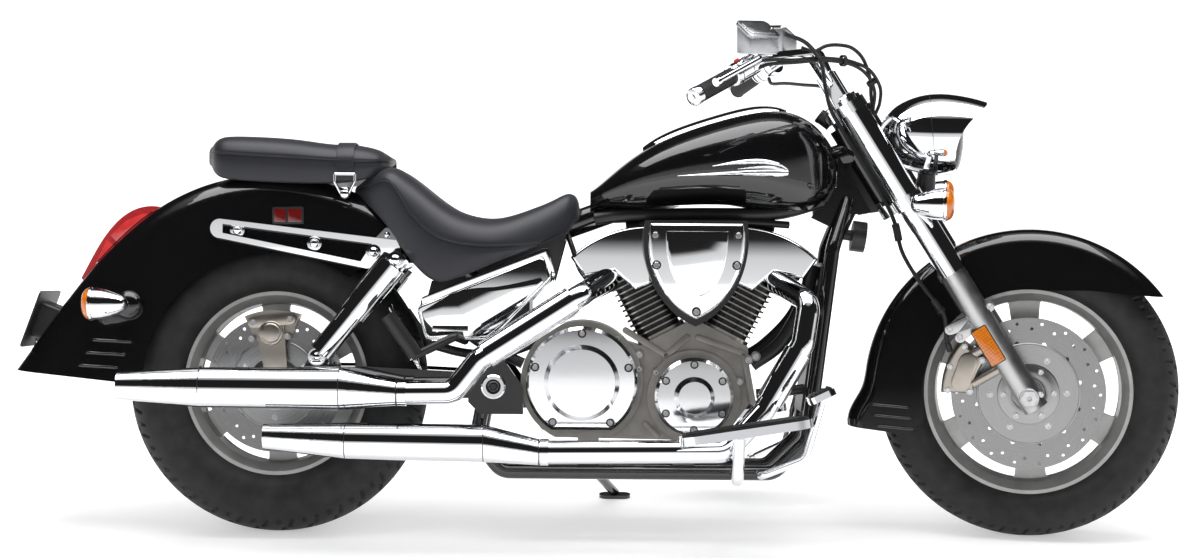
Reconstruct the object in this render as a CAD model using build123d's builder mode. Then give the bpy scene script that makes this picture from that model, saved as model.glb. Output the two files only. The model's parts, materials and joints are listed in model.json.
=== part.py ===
"""Cruiser motorcycle, parked on its side stand with the front wheel turned a little to the right.

Every piece is drawn on the upright machine: +X forward, +Y to the rider's left, +Z up, the origin on
the ground straight below the rear axle. At the end the front end is turned about the steering axis and
the whole machine is leaned on to its stand, with both tyres and the stand's foot on the floor.
"""

from build123d import *
import os
from math import asin, cos, degrees, radians, sin, sqrt, tan

# Chassis geometry
wheelbase = 1669
rake = 32
fork_offset = 46.6
lean = 9
steer_rest = 10
running_gap = 0.06

# Tyres and wheels
rear_radius = 331
rear_tyre_width = 172
rear_rim_radius = 203
front_radius = 329
front_tyre_width = 142
front_rim_radius = 228
tyre_wall = 9
crown_drop = 0.34
crown_width = 0.8
spoke_count = 6
rear_disc_radius = 150
front_disc_radius = 168
disc_thickness = 6
axle_radius = 10

# Front end
fork_half_spacing = 116
fork_cover_radius = 31
fork_slider_radius = 28
slider_length = 318
fork_length = 728
clamp_spread = 242
clamp_thickness = 28
bar_radius = 12.7
bar_rise = 196
lamp_radius = 91
brake_hose_radius = 4.5
throttle_cable_radius = 4
fender_sheet = 3

# Engine
crank_x = 920
crank_z = 311
cylinder_tilt = 27
case_half_width = 92
cover_face = 165
fin_pitch = 12.6
fin_thickness = 3

# Frame and exhaust
frame_tube_radius = 16
rail_half_spacing = 112
rail_z = 145
pipe_radius = 25
muffler_offset = 230


def side(offset):
    """The plane along the machine, offset to the right; its sketches read (x, z)."""
    return Plane(origin=(0, -offset, 0), x_dir=(1, 0, 0), z_dir=(0, -1, 0))


def station(x):
    """The plane across the machine at x, facing forward; its sketches read (y, z)."""
    return Plane(origin=(x, 0, 0), x_dir=(0, 1, 0), z_dir=(1, 0, 0))


def bent_tube(points, bend, radius):
    """A round bar along straight runs joined by arcs of radius bend."""
    with BuildPart() as tube:
        with BuildLine() as path:
            FilletPolyline(*points, radius=bend)
        with BuildSketch(Plane(origin=path.line @ 0, z_dir=path.line % 0)):
            Circle(radius)
        sweep()
    return tube.part


def hose(name, points, radius):
    """A hose: straight runs joined by arcs as large as the runs beside them allow."""
    bends = []
    for before, corner, after in zip(points, points[1:], points[2:]):
        run_in = corner - before
        run_out = after - corner
        turn = radians(run_in.get_angle(run_out))
        bends.append(0.45 * min(run_in.length, run_out.length) / tan(turn / 2))
    length = sum((after - before).length for before, after in zip(points, points[1:]))
    print(f"{name}: about {length:.0f} mm long, bends of {[round(bend) for bend in bends]} mm")
    return bent_tube(points, bends, radius)


def bar(start, end, radius, end_radius=None):
    """A round bar, or a cone when the end has its own radius, between two points."""
    start = Vector(*start)
    end = Vector(*end)
    axis = Plane(origin=start, z_dir=end - start)
    with BuildPart() as rod:
        with BuildSketch(axis):
            Circle(radius)
        if end_radius is None:
            extrude(amount=(end - start).length)
        else:
            with BuildSketch(axis.offset((end - start).length)):
                Circle(end_radius)
            loft()
    return rod.part


def largest(shape, count):
    """The largest solids of a shape, without the slivers that a cut may leave beside them."""
    return shape.solids().sort_by(SortBy.VOLUME)[-count:]


def dome_section(x, bottom, top, half_width, foot=0.6, belly=0.42):
    """A cross section at x with a flat base, full flanks and a domed top."""
    height = top - bottom
    with BuildSketch(station(x)) as outline:
        with BuildLine():
            base = Line((-foot * half_width, bottom), (foot * half_width, bottom))
            flank = (half_width, bottom + belly * height)
            left = Spline(base @ 1, flank, (0, top), tangents=[(1, 0.35), (-1, 0)])
            mirror(left, about=Plane.YZ)
        make_face()
    return outline.sketch


# The steering axis leans back by the rake; the fork legs run ahead of it by the clamps' offset.
up_fork = Vector(-sin(radians(rake)), 0, cos(radians(rake)))
ahead_of_fork = Vector(cos(radians(rake)), 0, sin(radians(rake)))
front_hub = Vector(wheelbase, 0, front_radius)
rear_hub = Vector(0, 0, rear_radius)
steer_foot = front_hub - ahead_of_fork * fork_offset


def on_fork(along, ahead=0.0, left=0.0):
    """A point on the front end: along the legs from the axle, ahead of their line, to the left."""
    return front_hub + up_fork * along + ahead_of_fork * ahead + Vector(0, left, 0)


def fork_plane(along):
    """A plane square to the fork legs, its x ahead, its y to the left and its normal up the legs."""
    return Plane(origin=on_fork(along), x_dir=ahead_of_fork, z_dir=up_fork)


# Wheels


def tyre(hub, radius, width, rim_radius):
    """A tyre's hollow ring: round crown, bulged walls and beads on the rim."""
    half = width / 2
    shoulder = hub.X + radius - crown_drop * half
    shoulder_width = crown_width * half
    bead = half * 0.66
    seat = hub.X + rim_radius
    middle = hub.X + (radius + rim_radius) / 2
    with BuildPart() as ring:
        with BuildSketch(Plane.XY.offset(hub.Z)):
            with BuildLine():
                crown = ThreePointArc(
                    (shoulder, -shoulder_width), (hub.X + radius, 0), (shoulder, shoulder_width)
                )
                left_wall = ThreePointArc(crown @ 1, (middle, half), (seat, bead))
                right_wall = ThreePointArc(crown @ 0, (middle, -half), (seat, -bead))
                left_bead = Line(left_wall @ 1, (seat, bead - tyre_wall))
                right_bead = Line(right_wall @ 1, (seat, tyre_wall - bead))
                inner = ThreePointArc(
                    (shoulder - tyre_wall, tyre_wall - shoulder_width),
                    (hub.X + radius - tyre_wall * 1.4, 0),
                    (shoulder - tyre_wall, shoulder_width - tyre_wall),
                )
                ThreePointArc(inner @ 1, (middle, half - tyre_wall), left_bead @ 1)
                ThreePointArc(inner @ 0, (middle, tyre_wall - half), right_bead @ 1)
            make_face()
        revolve(axis=Axis((hub.X, 0, hub.Z), (0, 1, 0)))
    return ring.part


def crown_radius(width):
    """The radius across a tyre's round crown."""
    return width / 2 * (crown_width**2 + crown_drop**2) / (2 * crown_drop)


def spoke_window(inner, outer):
    """One opening between two spokes: a ring sector with round corners."""
    half_angle = 20
    with BuildSketch() as window:
        with BuildLine():
            outer_arc = CenterArc((0, 0), outer, -half_angle, 2 * half_angle)
            inner_arc = CenterArc((0, 0), inner, -half_angle * 0.8, 1.6 * half_angle)
            Line(outer_arc @ 0, inner_arc @ 0)
            Line(outer_arc @ 1, inner_arc @ 1)
        make_face()
        fillet(window.vertices(), radius=7)
    return window.sketch


def cast_wheel(hub, rim_radius, width, hub_radius, hub_half):
    """A cast wheel: dished rim, flat web with openings between broad spokes, and a bored hub."""
    bead = width / 2 * 0.66
    barrel_radius = rim_radius - 24
    web = 9
    with BuildPart() as cast:
        with BuildSketch(Plane.XY.offset(hub.Z)):
            with BuildLine():
                Polyline(
                    (hub.X + rim_radius, -bead),
                    (hub.X + rim_radius, bead),
                    (hub.X + rim_radius - 8, bead),
                    (hub.X + barrel_radius, bead - 16),
                    (hub.X + barrel_radius - 6, 0),
                    (hub.X + barrel_radius, 16 - bead),
                    (hub.X + rim_radius - 8, -bead),
                    close=True,
                )
            make_face()
        revolve(axis=Axis((hub.X, 0, hub.Z), (0, 1, 0)))
        with BuildSketch(side(-web)):
            with Locations((hub.X, hub.Z)):
                Circle(barrel_radius + 2)
        extrude(amount=2 * web)
        with BuildSketch(side(-web)):
            with Locations((hub.X, hub.Z)):
                with PolarLocations(0, spoke_count, start_angle=3):
                    add(spoke_window(hub_radius + 48, rim_radius - 26))
        extrude(amount=2 * web, mode=Mode.SUBTRACT)
        with BuildSketch(side(-hub_half)):
            with Locations((hub.X, hub.Z)):
                Circle(hub_radius)
        extrude(amount=2 * hub_half)
        with BuildSketch(side(-hub_half)):
            with Locations((hub.X, hub.Z)):
                Circle(axle_radius + running_gap)
        extrude(amount=2 * hub_half, mode=Mode.SUBTRACT)
    return cast.part


def brake_disc(hub, radius, offset):
    """A drilled brake disc with a slotted carrier, offset to the right of the wheel's middle."""
    with BuildPart() as disc:
        with BuildSketch(side(offset)):
            with Locations((hub.X, hub.Z)):
                Circle(radius)
                Circle(axle_radius + 20, mode=Mode.SUBTRACT)
                with PolarLocations(radius - 12, 18):
                    Circle(3.5, mode=Mode.SUBTRACT)
                with PolarLocations(radius - 24, 18, start_angle=8):
                    Circle(3.5, mode=Mode.SUBTRACT)
                with PolarLocations(radius - 62, 12, start_angle=10):
                    SlotOverall(30, 9, rotation=45, mode=Mode.SUBTRACT)
        extrude(amount=disc_thickness)
    return disc.part


rear_hub_half = 72
with BuildPart() as rear_tyre:
    add(tyre(rear_hub, rear_radius, rear_tyre_width, rear_rim_radius))
rear_tyre.part.label = "rear_tyre"

with BuildPart() as rear_rim:
    add(cast_wheel(rear_hub, rear_rim_radius, rear_tyre_width, 62, rear_hub_half))
rear_rim.part.label = "rear_rim"

with BuildPart() as rear_disc:
    add(brake_disc(rear_hub, rear_disc_radius, rear_hub_half))
rear_disc.part.label = "rear_disc"

front_hub_half = 66
with BuildPart() as front_tyre:
    add(tyre(front_hub, front_radius, front_tyre_width, front_rim_radius))
front_tyre.part.label = "front_tyre"

with BuildPart() as front_rim:
    add(cast_wheel(front_hub, front_rim_radius, front_tyre_width, 46, front_hub_half))
front_rim.part.label = "front_rim"

with BuildPart() as front_disc:
    add(brake_disc(front_hub, front_disc_radius, front_hub_half))
front_disc.part.label = "front_disc"

# Frame
upper_clamp = fork_length + 2
lower_clamp = upper_clamp - clamp_spread
head_foot = lower_clamp + clamp_thickness + 12
head_top = upper_clamp - 14
head = on_fork(head_top - 66, -fork_offset)
neck_half_width = 38
stem_radius = 17
pivot_radius = 12
riser_x = 470
pivot_x = 474
pivot_z = 331
rear_rail = Vector(300, rail_half_spacing, 628)
with BuildPart() as frame_backbone:
    with BuildSketch(fork_plane(head_foot)):
        with Locations((-fork_offset, 0)):
            Circle(30)
    extrude(amount=head_top - head_foot)
    spine = [head, head - Vector(165, 0, 50), (780, 0, 736), (560, 0, 655), (riser_x, 0, 560)]
    add(bent_tube(spine, 90, 28))
    with BuildSketch(side(-neck_half_width)):
        with BuildLine():
            Polyline(
                (head.X - 47, head.Z - 5),
                (head.X - 49, head.Z - 80),
                (head.X - 95, head.Z - 133),
                (head.X - 105, head.Z - 149),
                (head.X - 63, head.Z - 169),
                (head.X - 23, head.Z - 177),
                (head.X - 7, head.Z - 141),
                (head.X + 30, head.Z - 137),
                (head.X + 5, head.Z - 95),
                (head.X - 23, head.Z - 50),
                close=True,
            )
        make_face()
    extrude(amount=2 * neck_half_width)
    with BuildSketch(side(-rail_half_spacing)):
        with Locations((riser_x, 560)):
            Circle(frame_tube_radius)
    extrude(amount=2 * rail_half_spacing)
    with BuildSketch(fork_plane(head_foot)):
        with Locations((-fork_offset, 0)):
            Circle(stem_radius + running_gap)
    extrude(amount=head_top - head_foot, mode=Mode.SUBTRACT)
frame_backbone.part.label = "frame_backbone"


def cradle(hand):
    """One side of the cradle: down tube, lower rail, riser with its pivot plate, and the seat rail."""
    y = hand * rail_half_spacing
    with BuildPart() as loop:
        path = [
            (head.X - 23, hand * 30, head.Z - 110),
            (head.X - 60, y * 0.75, head.Z - 215),
            (head.X - 117, y, rail_z + 70),
            (head.X - 190, y, rail_z),
            (riser_x + 30, y, rail_z),
            (riser_x - 25, y, rail_z + 70),
            (riser_x, y, pivot_z + 20),
            (riser_x, y, 530),
            (riser_x - 60, y, 596),
            (rear_rail.X, y, rear_rail.Z),
        ]
        add(bent_tube(path, 40, frame_tube_radius))
        with BuildSketch(side(-hand * (rail_half_spacing + frame_tube_radius - 2))):
            with BuildLine():
                Polyline(
                    (pivot_x - 46, pivot_z + 52),
                    (pivot_x - 46, pivot_z - 34),
                    (pivot_x - 20, pivot_z - 60),
                    (pivot_x + 74, pivot_z - 60),
                    (pivot_x + 74, pivot_z - 2),
                    (pivot_x + 10, pivot_z + 88),
                    close=True,
                )
            make_face()
            with Locations((pivot_x, pivot_z)):
                Circle(pivot_radius, mode=Mode.SUBTRACT)
        extrude(amount=-hand * 8)
        add(frame_backbone.part, mode=Mode.SUBTRACT)
    return largest(loop.part, 1)


with BuildPart() as frame_cradle_right:
    add(cradle(-1))
frame_cradle_right.part.label = "frame_cradle_right"

with BuildPart() as frame_cradle_left:
    add(cradle(1))
frame_cradle_left.part.label = "frame_cradle_left"

# The engine: a crankcase, two finned cylinders in a V and the covers on both sides


def cylinder_plane(hand, height):
    """A plane across one cylinder at a height from the crank; hand is 1 for the front, -1 for the rear."""
    tilt = radians(cylinder_tilt) * hand
    axis = Vector(sin(tilt), 0, cos(tilt))
    crank = Vector(crank_x, 0, crank_z)
    return Plane(origin=crank + axis * height, x_dir=(cos(tilt), 0, -sin(tilt)), z_dir=axis)


def cylinder_side(hand, offset):
    """The plane beside one cylinder, facing right; its sketches read (forward across it, up along it)."""
    tilt = radians(cylinder_tilt) * hand
    return Plane(origin=(crank_x, -offset, crank_z), x_dir=(cos(tilt), 0, -sin(tilt)), z_dir=(0, -1, 0))


clutch_x = 675
clutch_z = 341
cylinder_foot = 152
head_height = 285
cover_height = 341
cover_top = 394
deck_half = 56
head_outer = 92
head_inner = 40
head_half_width = 76
front_deck = cylinder_plane(1, cylinder_foot)
front_deck_inner = front_deck.from_local_coords((-deck_half, 0, 0))
front_deck_outer = front_deck.from_local_coords((deck_half, 0, 0))
with BuildPart() as crankcase:
    with BuildSketch(side(-case_half_width)) as case_outline:
        with BuildLine():
            Polyline(
                (556, 300),
                (586, 236),
                (640, 219),
                (900, 215),
                (1000, 238),
                (1046, 300),
                (front_deck_outer.X, front_deck_outer.Z),
                (front_deck_inner.X, front_deck_inner.Z),
                (2 * crank_x - front_deck_inner.X, front_deck_inner.Z),
                (2 * crank_x - front_deck_outer.X, front_deck_outer.Z),
                (740, 440),
                (640, 452),
                (566, 420),
                close=True,
            )
        make_face()
        fillet(case_outline.vertices().filter_by(lambda corner: corner.Y < 330), 18)
    extrude(amount=2 * case_half_width)
    with BuildSketch(side(-case_half_width - 12)):
        with Locations((crank_x, crank_z)):
            Circle(102)
        with Locations((clutch_x, clutch_z)):
            Circle(134)
        with Locations((clutch_x, 150)):
            Rectangle(400, 140, mode=Mode.SUBTRACT)
        with Locations((crank_x, 160)):
            Rectangle(300, 110, mode=Mode.SUBTRACT)
    extrude(amount=2 * (case_half_width + 12))
    with GridLocations(0, 2 * 84, 1, 2):
        with Locations((690, 0, 187), (900, 0, 187)):
            Box(46, 40, 74)
    add(frame_cradle_right.part, mode=Mode.SUBTRACT)
    add(frame_cradle_left.part, mode=Mode.SUBTRACT)
crankcase.part.label = "crankcase"


def cylinder_block(hand):
    """A cylinder barrel and the head on it, which reaches further out from the V."""
    with BuildPart() as block:
        with BuildSketch(cylinder_plane(hand, cylinder_foot)):
            RectangleRounded(2 * deck_half, 2 * head_half_width, 30)
        extrude(amount=head_height - cylinder_foot)
        with BuildSketch(cylinder_plane(hand, head_height)):
            with Locations((hand * (head_outer - head_inner) / 2, 0)):
                RectangleRounded(head_outer + head_inner, 2 * head_half_width, 30)
        extrude(amount=cover_height - head_height)
    return block.part


def finned_cylinder(hand):
    """A cylinder with the gaps between its fins cut, and two ribs up each flank."""
    core_width = 2 * head_half_width - 24
    with BuildPart() as cylinder:
        add(cylinder_block(hand))
        for index in range(int((cover_height - cylinder_foot) / fin_pitch) - 1):
            height = cylinder_foot + 8 + index * fin_pitch
            on_head = height > head_height - fin_thickness
            centre = hand * (head_outer - head_inner) / 2 if on_head else 0
            core = head_outer + head_inner - 24 if on_head else 2 * deck_half - 16
            with BuildSketch(cylinder_plane(hand, height)):
                with Locations((centre, 0)):
                    Rectangle(300, 220)
                    RectangleRounded(core, core_width, 24, mode=Mode.SUBTRACT)
            extrude(amount=fin_pitch - fin_thickness, mode=Mode.SUBTRACT)
        with BuildSketch(cylinder_plane(hand, cylinder_foot)):
            with GridLocations(deck_half * 0.6, 0, 2, 1):
                Rectangle(3, 2 * head_half_width - 3)
        extrude(amount=head_height - cylinder_foot)
    return cylinder.part


def head_cover(hand):
    """A wedge-shaped cover: a cap over the head and a leg down between the fins and the air cleaner."""
    half_width = head_half_width + 8
    with BuildPart() as cover:
        with BuildSketch(cylinder_side(hand, -half_width)):
            with BuildLine():
                cap = ThreePointArc(
                    (-hand * 86, cover_top - 18), (hand * 10, cover_top + 10), (hand * 105, cover_top)
                )
                Polyline(
                    cap @ 1,
                    (hand * 97, cover_height),
                    (hand * 33, cover_height - 17),
                    (hand * 9, head_height - 20),
                    (-hand * 30, head_height - 22),
                    cap @ 0,
                )
            make_face()
        extrude(amount=2 * half_width)
        rims = cover.edges().group_by(Axis.Y)
        fillet(rims[0] + rims[-1], 7)
        add(cylinder_block(hand), mode=Mode.SUBTRACT)
    return largest(cover.part, 1)


with BuildPart() as cylinder_front:
    add(finned_cylinder(1))
cylinder_front.part.label = "cylinder_front"

with BuildPart() as cylinder_rear:
    add(finned_cylinder(-1))
cylinder_rear.part.label = "cylinder_rear"

with BuildPart() as head_cover_front:
    add(head_cover(1))
head_cover_front.part.label = "head_cover_front"

with BuildPart() as head_cover_rear:
    add(head_cover(-1))
head_cover_rear.part.label = "head_cover_rear"

cover_seat = case_half_width + 12


def round_cover(x, z, radius, disc_radius, screw_radius, screws, flat_z):
    """A chrome cover: a chamfered flange cut flat below, a raised disc and a ring of cap screws."""
    with BuildPart() as cover:
        with BuildSketch(side(cover_seat)):
            with Locations((x, z)):
                Circle(radius)
            with Locations((x, flat_z - radius)):
                Rectangle(2 * radius, 2 * radius, mode=Mode.SUBTRACT)
        extrude(amount=34)
        chamfer(cover.faces().sort_by(Axis.Y)[0].edges(), 7)
        with BuildSketch(side(cover_seat + 30)):
            with Locations((x, z)):
                Circle(disc_radius)
        extrude(amount=cover_face - cover_seat - 30, taper=20)
        with BuildSketch(side(cover_seat + 20)):
            with Locations((x, z)):
                with PolarLocations(radius - 15, screws, start_angle=90):
                    Circle(screw_radius + 3)
        extrude(amount=30, mode=Mode.SUBTRACT)
        with BuildSketch(side(cover_seat + 18)):
            with Locations((x, z)):
                with PolarLocations(radius - 15, screws, start_angle=90):
                    Circle(screw_radius)
                    Circle(screw_radius * 0.5, mode=Mode.SUBTRACT)
        extrude(amount=11)
    return cover.part


with BuildPart() as clutch_cover:
    add(round_cover(clutch_x, clutch_z, 122, 84, 6.5, 5, clutch_z - 103))
clutch_cover.part.label = "clutch_cover"

with BuildPart() as crank_cover:
    add(round_cover(crank_x, crank_z, 86, 46, 6, 6, crank_z - 100))
    add(clutch_cover.part, mode=Mode.SUBTRACT)
crank_cover.part.label = "crank_cover"

with BuildPart() as left_cover:
    with BuildSketch(side(-cover_seat)):
        with Locations((crank_x, crank_z)):
            Circle(84)
        with Locations((720, 330)):
            RectangleRounded(250, 150, 50)
    extrude(amount=-44)
    fillet(left_cover.faces().sort_by(Axis.Y)[-1].edges(), 12)
left_cover.part.label = "left_cover"

# The air cleaner stands out between the heads on the right: a black case fed from both, a chrome cover
air_top = 689
air_base = 176
air_face = 230
with BuildPart() as air_cleaner:
    with BuildSketch(side(-40)):
        with Locations((crank_x, 620)):
            Circle(34)
    extrude(amount=200)
    with BuildSketch(side(84)):
        with BuildLine():
            case_top = Line((crank_x - 110, air_top + 6), (crank_x + 110, air_top + 6))
            case_right = Spline(case_top @ 1, (crank_x + 108, 604), (crank_x + 66, 516), (crank_x, 466))
            Spline(case_top @ 0, (crank_x - 108, 604), (crank_x - 66, 516), case_right @ 1)
        make_face()
    extrude(amount=air_base - 84)
    add(bar((crank_x - 120, 0, 612), (crank_x + 120, 0, 612), 24))
    for hand in (-1, 1):
        add(cylinder_block(hand), mode=Mode.SUBTRACT)
    for neighbour in (head_cover_front, head_cover_rear, frame_backbone, crankcase):
        add(neighbour.part, mode=Mode.SUBTRACT)
air_cleaner.part.label = "air_cleaner"

air_screws = ((-89, 662), (89, 662), (-86, 598), (86, 598), (0, 498))
with BuildPart() as air_cover:
    with BuildSketch(side(air_base)):
        with BuildLine():
            top_edge = Line((crank_x - 100, air_top), (crank_x + 100, air_top))
            right_edge = Spline(top_edge @ 1, (crank_x + 100, 610), (crank_x + 60, 526), (crank_x, 482))
            Spline(top_edge @ 0, (crank_x - 100, 610), (crank_x - 60, 526), right_edge @ 1)
        make_face()
    extrude(amount=air_face - air_base - 14)
    fillet(air_cover.faces().sort_by(Axis.Y)[0].edges(), 9)
    with BuildSketch(side(air_face - 15)):
        with BuildLine():
            inner_top = Line((crank_x - 66, air_top - 18), (crank_x + 66, air_top - 18))
            inner_right = Spline(inner_top @ 1, (crank_x + 60, 600), (crank_x + 30, 545), (crank_x, 530))
            Spline(inner_top @ 0, (crank_x - 60, 600), (crank_x - 30, 545), inner_right @ 1)
        make_face()
    extrude(amount=15)
    chamfer(air_cover.faces().sort_by(Axis.Y)[0].edges(), 7, 12)
    for across, height in air_screws:
        with BuildSketch(side(air_face - 17)):
            with Locations((crank_x + across, height)):
                Circle(7)
                Circle(3.4, mode=Mode.SUBTRACT)
        extrude(amount=6)
air_cover.part.label = "air_cover"

with BuildPart() as radiator:
    with BuildSketch(Plane(origin=(head.X - 89, 0, 440), x_dir=(0, 1, 0), z_dir=(0.97, 0, -0.13))):
        RectangleRounded(176, 330, 10)
    extrude(amount=18, both=True)
    add(frame_cradle_right.part, mode=Mode.SUBTRACT)
    add(frame_cradle_left.part, mode=Mode.SUBTRACT)
radiator.part.label = "radiator"

with BuildPart() as horn:
    horn_face = head + Vector(-15, -40, -188)
    add(bar(horn_face, horn_face + Vector(30, 0, -4), 34))
    add(bar(horn_face + Vector(-32, 0, 4), horn_face + Vector(1, 0, 0), 12))
    add(frame_cradle_right.part, mode=Mode.SUBTRACT)
    add(frame_backbone.part, mode=Mode.SUBTRACT)
    add(largest(horn.part, 1), mode=Mode.REPLACE)
horn.part.label = "horn"

# Exhausts: each header leaves its head on the right, runs back and feeds its own muffler
def muffler(profile):
    """A muffler turned from its side profile, a list of (x, z of the middle, radius), open at the tip."""
    with BuildPart() as can:
        for x, z, radius in profile:
            with BuildSketch(Plane(origin=(x, -muffler_offset, z), z_dir=(1, 0, 0))):
                Circle(radius)
        loft(ruled=True)
        tip_x, tip_z, tip_radius = profile[0]
        with BuildSketch(Plane(origin=(tip_x, -muffler_offset, tip_z), z_dir=(1, 0, 0))):
            Circle(tip_radius - 4)
        extrude(amount=60, mode=Mode.SUBTRACT)
    return can.part


with BuildPart() as muffler_upper:
    add(muffler([(-316, 331, 29), (-139, 329, 43), (159, 328, 46), (280, 320, 28)]))
muffler_upper.part.label = "muffler_upper"

with BuildPart() as muffler_lower:
    add(muffler([(-3, 225, 27), (172, 217, 39), (467, 214, 40), (585, 196, 28)]))
muffler_lower.part.label = "muffler_lower"

with BuildPart() as exhaust_upper:
    add(
        bent_tube(
            [(735, -60, 570), (672, -205, 532), (560, -212, 463), (455, -226, 392)]
            + [(400, -muffler_offset, 322), (280, -muffler_offset, 320)],
            34,
            pipe_radius,
        )
    )
    add(bar((655, -206, 521), (470, -223, 402), 31))
    for neighbour in (cylinder_rear, head_cover_rear, muffler_upper):
        add(neighbour.part, mode=Mode.SUBTRACT)
exhaust_upper.part.label = "exhaust_upper"

with BuildPart() as exhaust_lower:
    add(
        bent_tube(
            [(1095, -60, 570), (1165, -185, 520), (1150, -205, 430), (1068, -212, 290)]
            + [(985, -222, 200), (585, -muffler_offset, 196)],
            40,
            pipe_radius,
        )
    )
    add(bar((1140, -206, 413), (1078, -211, 307), 30))
    for neighbour in (cylinder_front, head_cover_front, muffler_lower):
        add(neighbour.part, mode=Mode.SUBTRACT)
exhaust_lower.part.label = "exhaust_lower"

# Tank, seats and side covers
with BuildPart() as fuel_tank:
    for x, bottom, top, half_width in (
        (690, 715, 762, 50),
        (745, 722, 808, 96),
        (839, 727, 872, 134),
        (984, 732, 926, 150),
        (1105, 722, 945, 138),
        (1190, 728, 912, 92),
        (1235, 775, 850, 44),
    ):
        add(dome_section(x, bottom, top, half_width))
    loft()
    add(frame_backbone.part, mode=Mode.SUBTRACT)
    for neighbour in (head_cover_front, head_cover_rear, cylinder_front, cylinder_rear):
        add(neighbour.part, mode=Mode.SUBTRACT)
fuel_tank.part.label = "fuel_tank"

with BuildPart() as tank_console:
    for x, bottom, top, half_width in (
        (806, 830, 862, 20),
        (870, 850, 900, 42),
        (960, 880, 932, 50),
        (1056, 900, 955, 48),
        (1125, 900, 948, 22),
    ):
        add(dome_section(x, bottom, top, half_width))
    loft()
    add(fuel_tank.part, mode=Mode.SUBTRACT)
tank_console.part.label = "tank_console"

# Rear fender
rear_half = 105
cover_inner = 128


def rear_arch(inset):
    """The rear fender's outer form, drawn in by inset for its hollow."""
    with BuildPart() as arch:
        with BuildSketch(side(inset - rear_half)):
            with BuildLine():
                crown = Spline(
                    (298, 684 - inset),
                    (107, 774 - inset),
                    (-115 + 0.3 * inset, 780 - inset),
                    (-258 + 0.6 * inset, 719 - 0.8 * inset),
                    (-431 + 0.8 * inset, 553 - 0.6 * inset),
                    (-573 + 0.9 * inset, 357 - 0.4 * inset),
                )
                low = Line(crown @ 1, (-347, 333 - 2 * inset))
                lip = CenterArc((0, rear_radius), 287 - 3 * inset, 55, 120)
                Line(low @ 1, lip @ 1)
                Polyline(lip @ 0, (205, 600 - 2 * inset), (298, 600 - 2 * inset), crown @ 0)
            make_face()
        extrude(amount=2 * (rear_half - inset))
        long_edges = arch.edges().filter_by(GeomType.BSPLINE).sort_by(SortBy.LENGTH)[-2:]
        fillet(long_edges, 48 - inset)
    return arch.part


with BuildPart() as rear_fender:
    add(rear_arch(0))
    add(rear_arch(fender_sheet), mode=Mode.SUBTRACT)
    with BuildSketch(side(rear_half)):
        for rib_x, rib_z in ((-354, 423), (-368, 395), (-384, 367)):
            with Locations((rib_x, rib_z)):
                SlotOverall(98, 8, rotation=-3)
    extrude(amount=2.5, taper=20)
    mirror(about=Plane.XZ)
    for neighbour in (frame_cradle_right, frame_cradle_left):
        add(neighbour.part, mode=Mode.SUBTRACT)
rear_fender.part.label = "rear_fender"

# The pillion lies on a flat tongue of the rider's seat, along this line
seat_lap = [(120, 752), (182, 784), (226, 809), (252, 811)]
with BuildPart() as seat_rider:
    for x, bottom, top, half_width in (
        (657, 676, 764, 78),
        (600, 644, 744, 112),
        (500, 606, 703, 150),
        (425, 576, 706, 172),
        (366, 558, 736, 174),
        (320, 572, 776, 166),
        (272, 640, 806, 148),
        (226, 694, 806, 118),
        (182, 742, 782, 84),
    ):
        add(dome_section(x, bottom, top, half_width, 0.84, 0.55))
    loft()
    add(rear_arch(0), mode=Mode.SUBTRACT)
    for neighbour in (frame_backbone, frame_cradle_right, frame_cradle_left, fuel_tank):
        add(neighbour.part, mode=Mode.SUBTRACT)
    with BuildSketch(side(-cover_inner)):
        with BuildLine():
            Polyline(*seat_lap, (252, 900), (120, 900), close=True)
        make_face()
    extrude(amount=2 * cover_inner, mode=Mode.SUBTRACT)
seat_rider.part.label = "seat_rider"

with BuildPart() as seat_pillion:
    for x, bottom, top, half_width in (
        (-150, 796, 866, 72),
        (-118, 778, 879, 100),
        (-20, 766, 876, 122),
        (110, 764, 862, 130),
        (200, 772, 860, 118),
        (250, 792, 842, 80),
    ):
        add(dome_section(x, bottom, top, half_width, 0.86, 0.5))
    loft()
    add(rear_arch(0), mode=Mode.SUBTRACT)
    with BuildSketch(side(-cover_inner)):
        with BuildLine():
            Polyline(*seat_lap, (252, 700), (120, 700), close=True)
        make_face()
    extrude(amount=2 * cover_inner, mode=Mode.SUBTRACT)
seat_pillion.part.label = "seat_pillion"

with BuildPart() as side_covers:
    with BuildSketch(side(cover_inner)) as side_cover_shape:
        with BuildLine():
            Polyline((314, 503), (590, 618), (608, 566), (478, 432), (334, 432), close=True)
        make_face()
        fillet(side_cover_shape.vertices(), 14)
    extrude(amount=20)
    fillet(side_covers.faces().sort_by(Axis.Y)[0].edges(), 6)
    mirror(about=Plane.XZ)
side_covers.part.label = "side_covers"

with BuildPart() as under_seat_box:
    with Locations((505, 0, 514)):
        Box(110, 2 * cover_inner - 10, 128)
    for neighbour in (frame_backbone, frame_cradle_right, frame_cradle_left):
        add(neighbour.part, mode=Mode.SUBTRACT)
under_seat_box.part.label = "under_seat_box"

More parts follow.
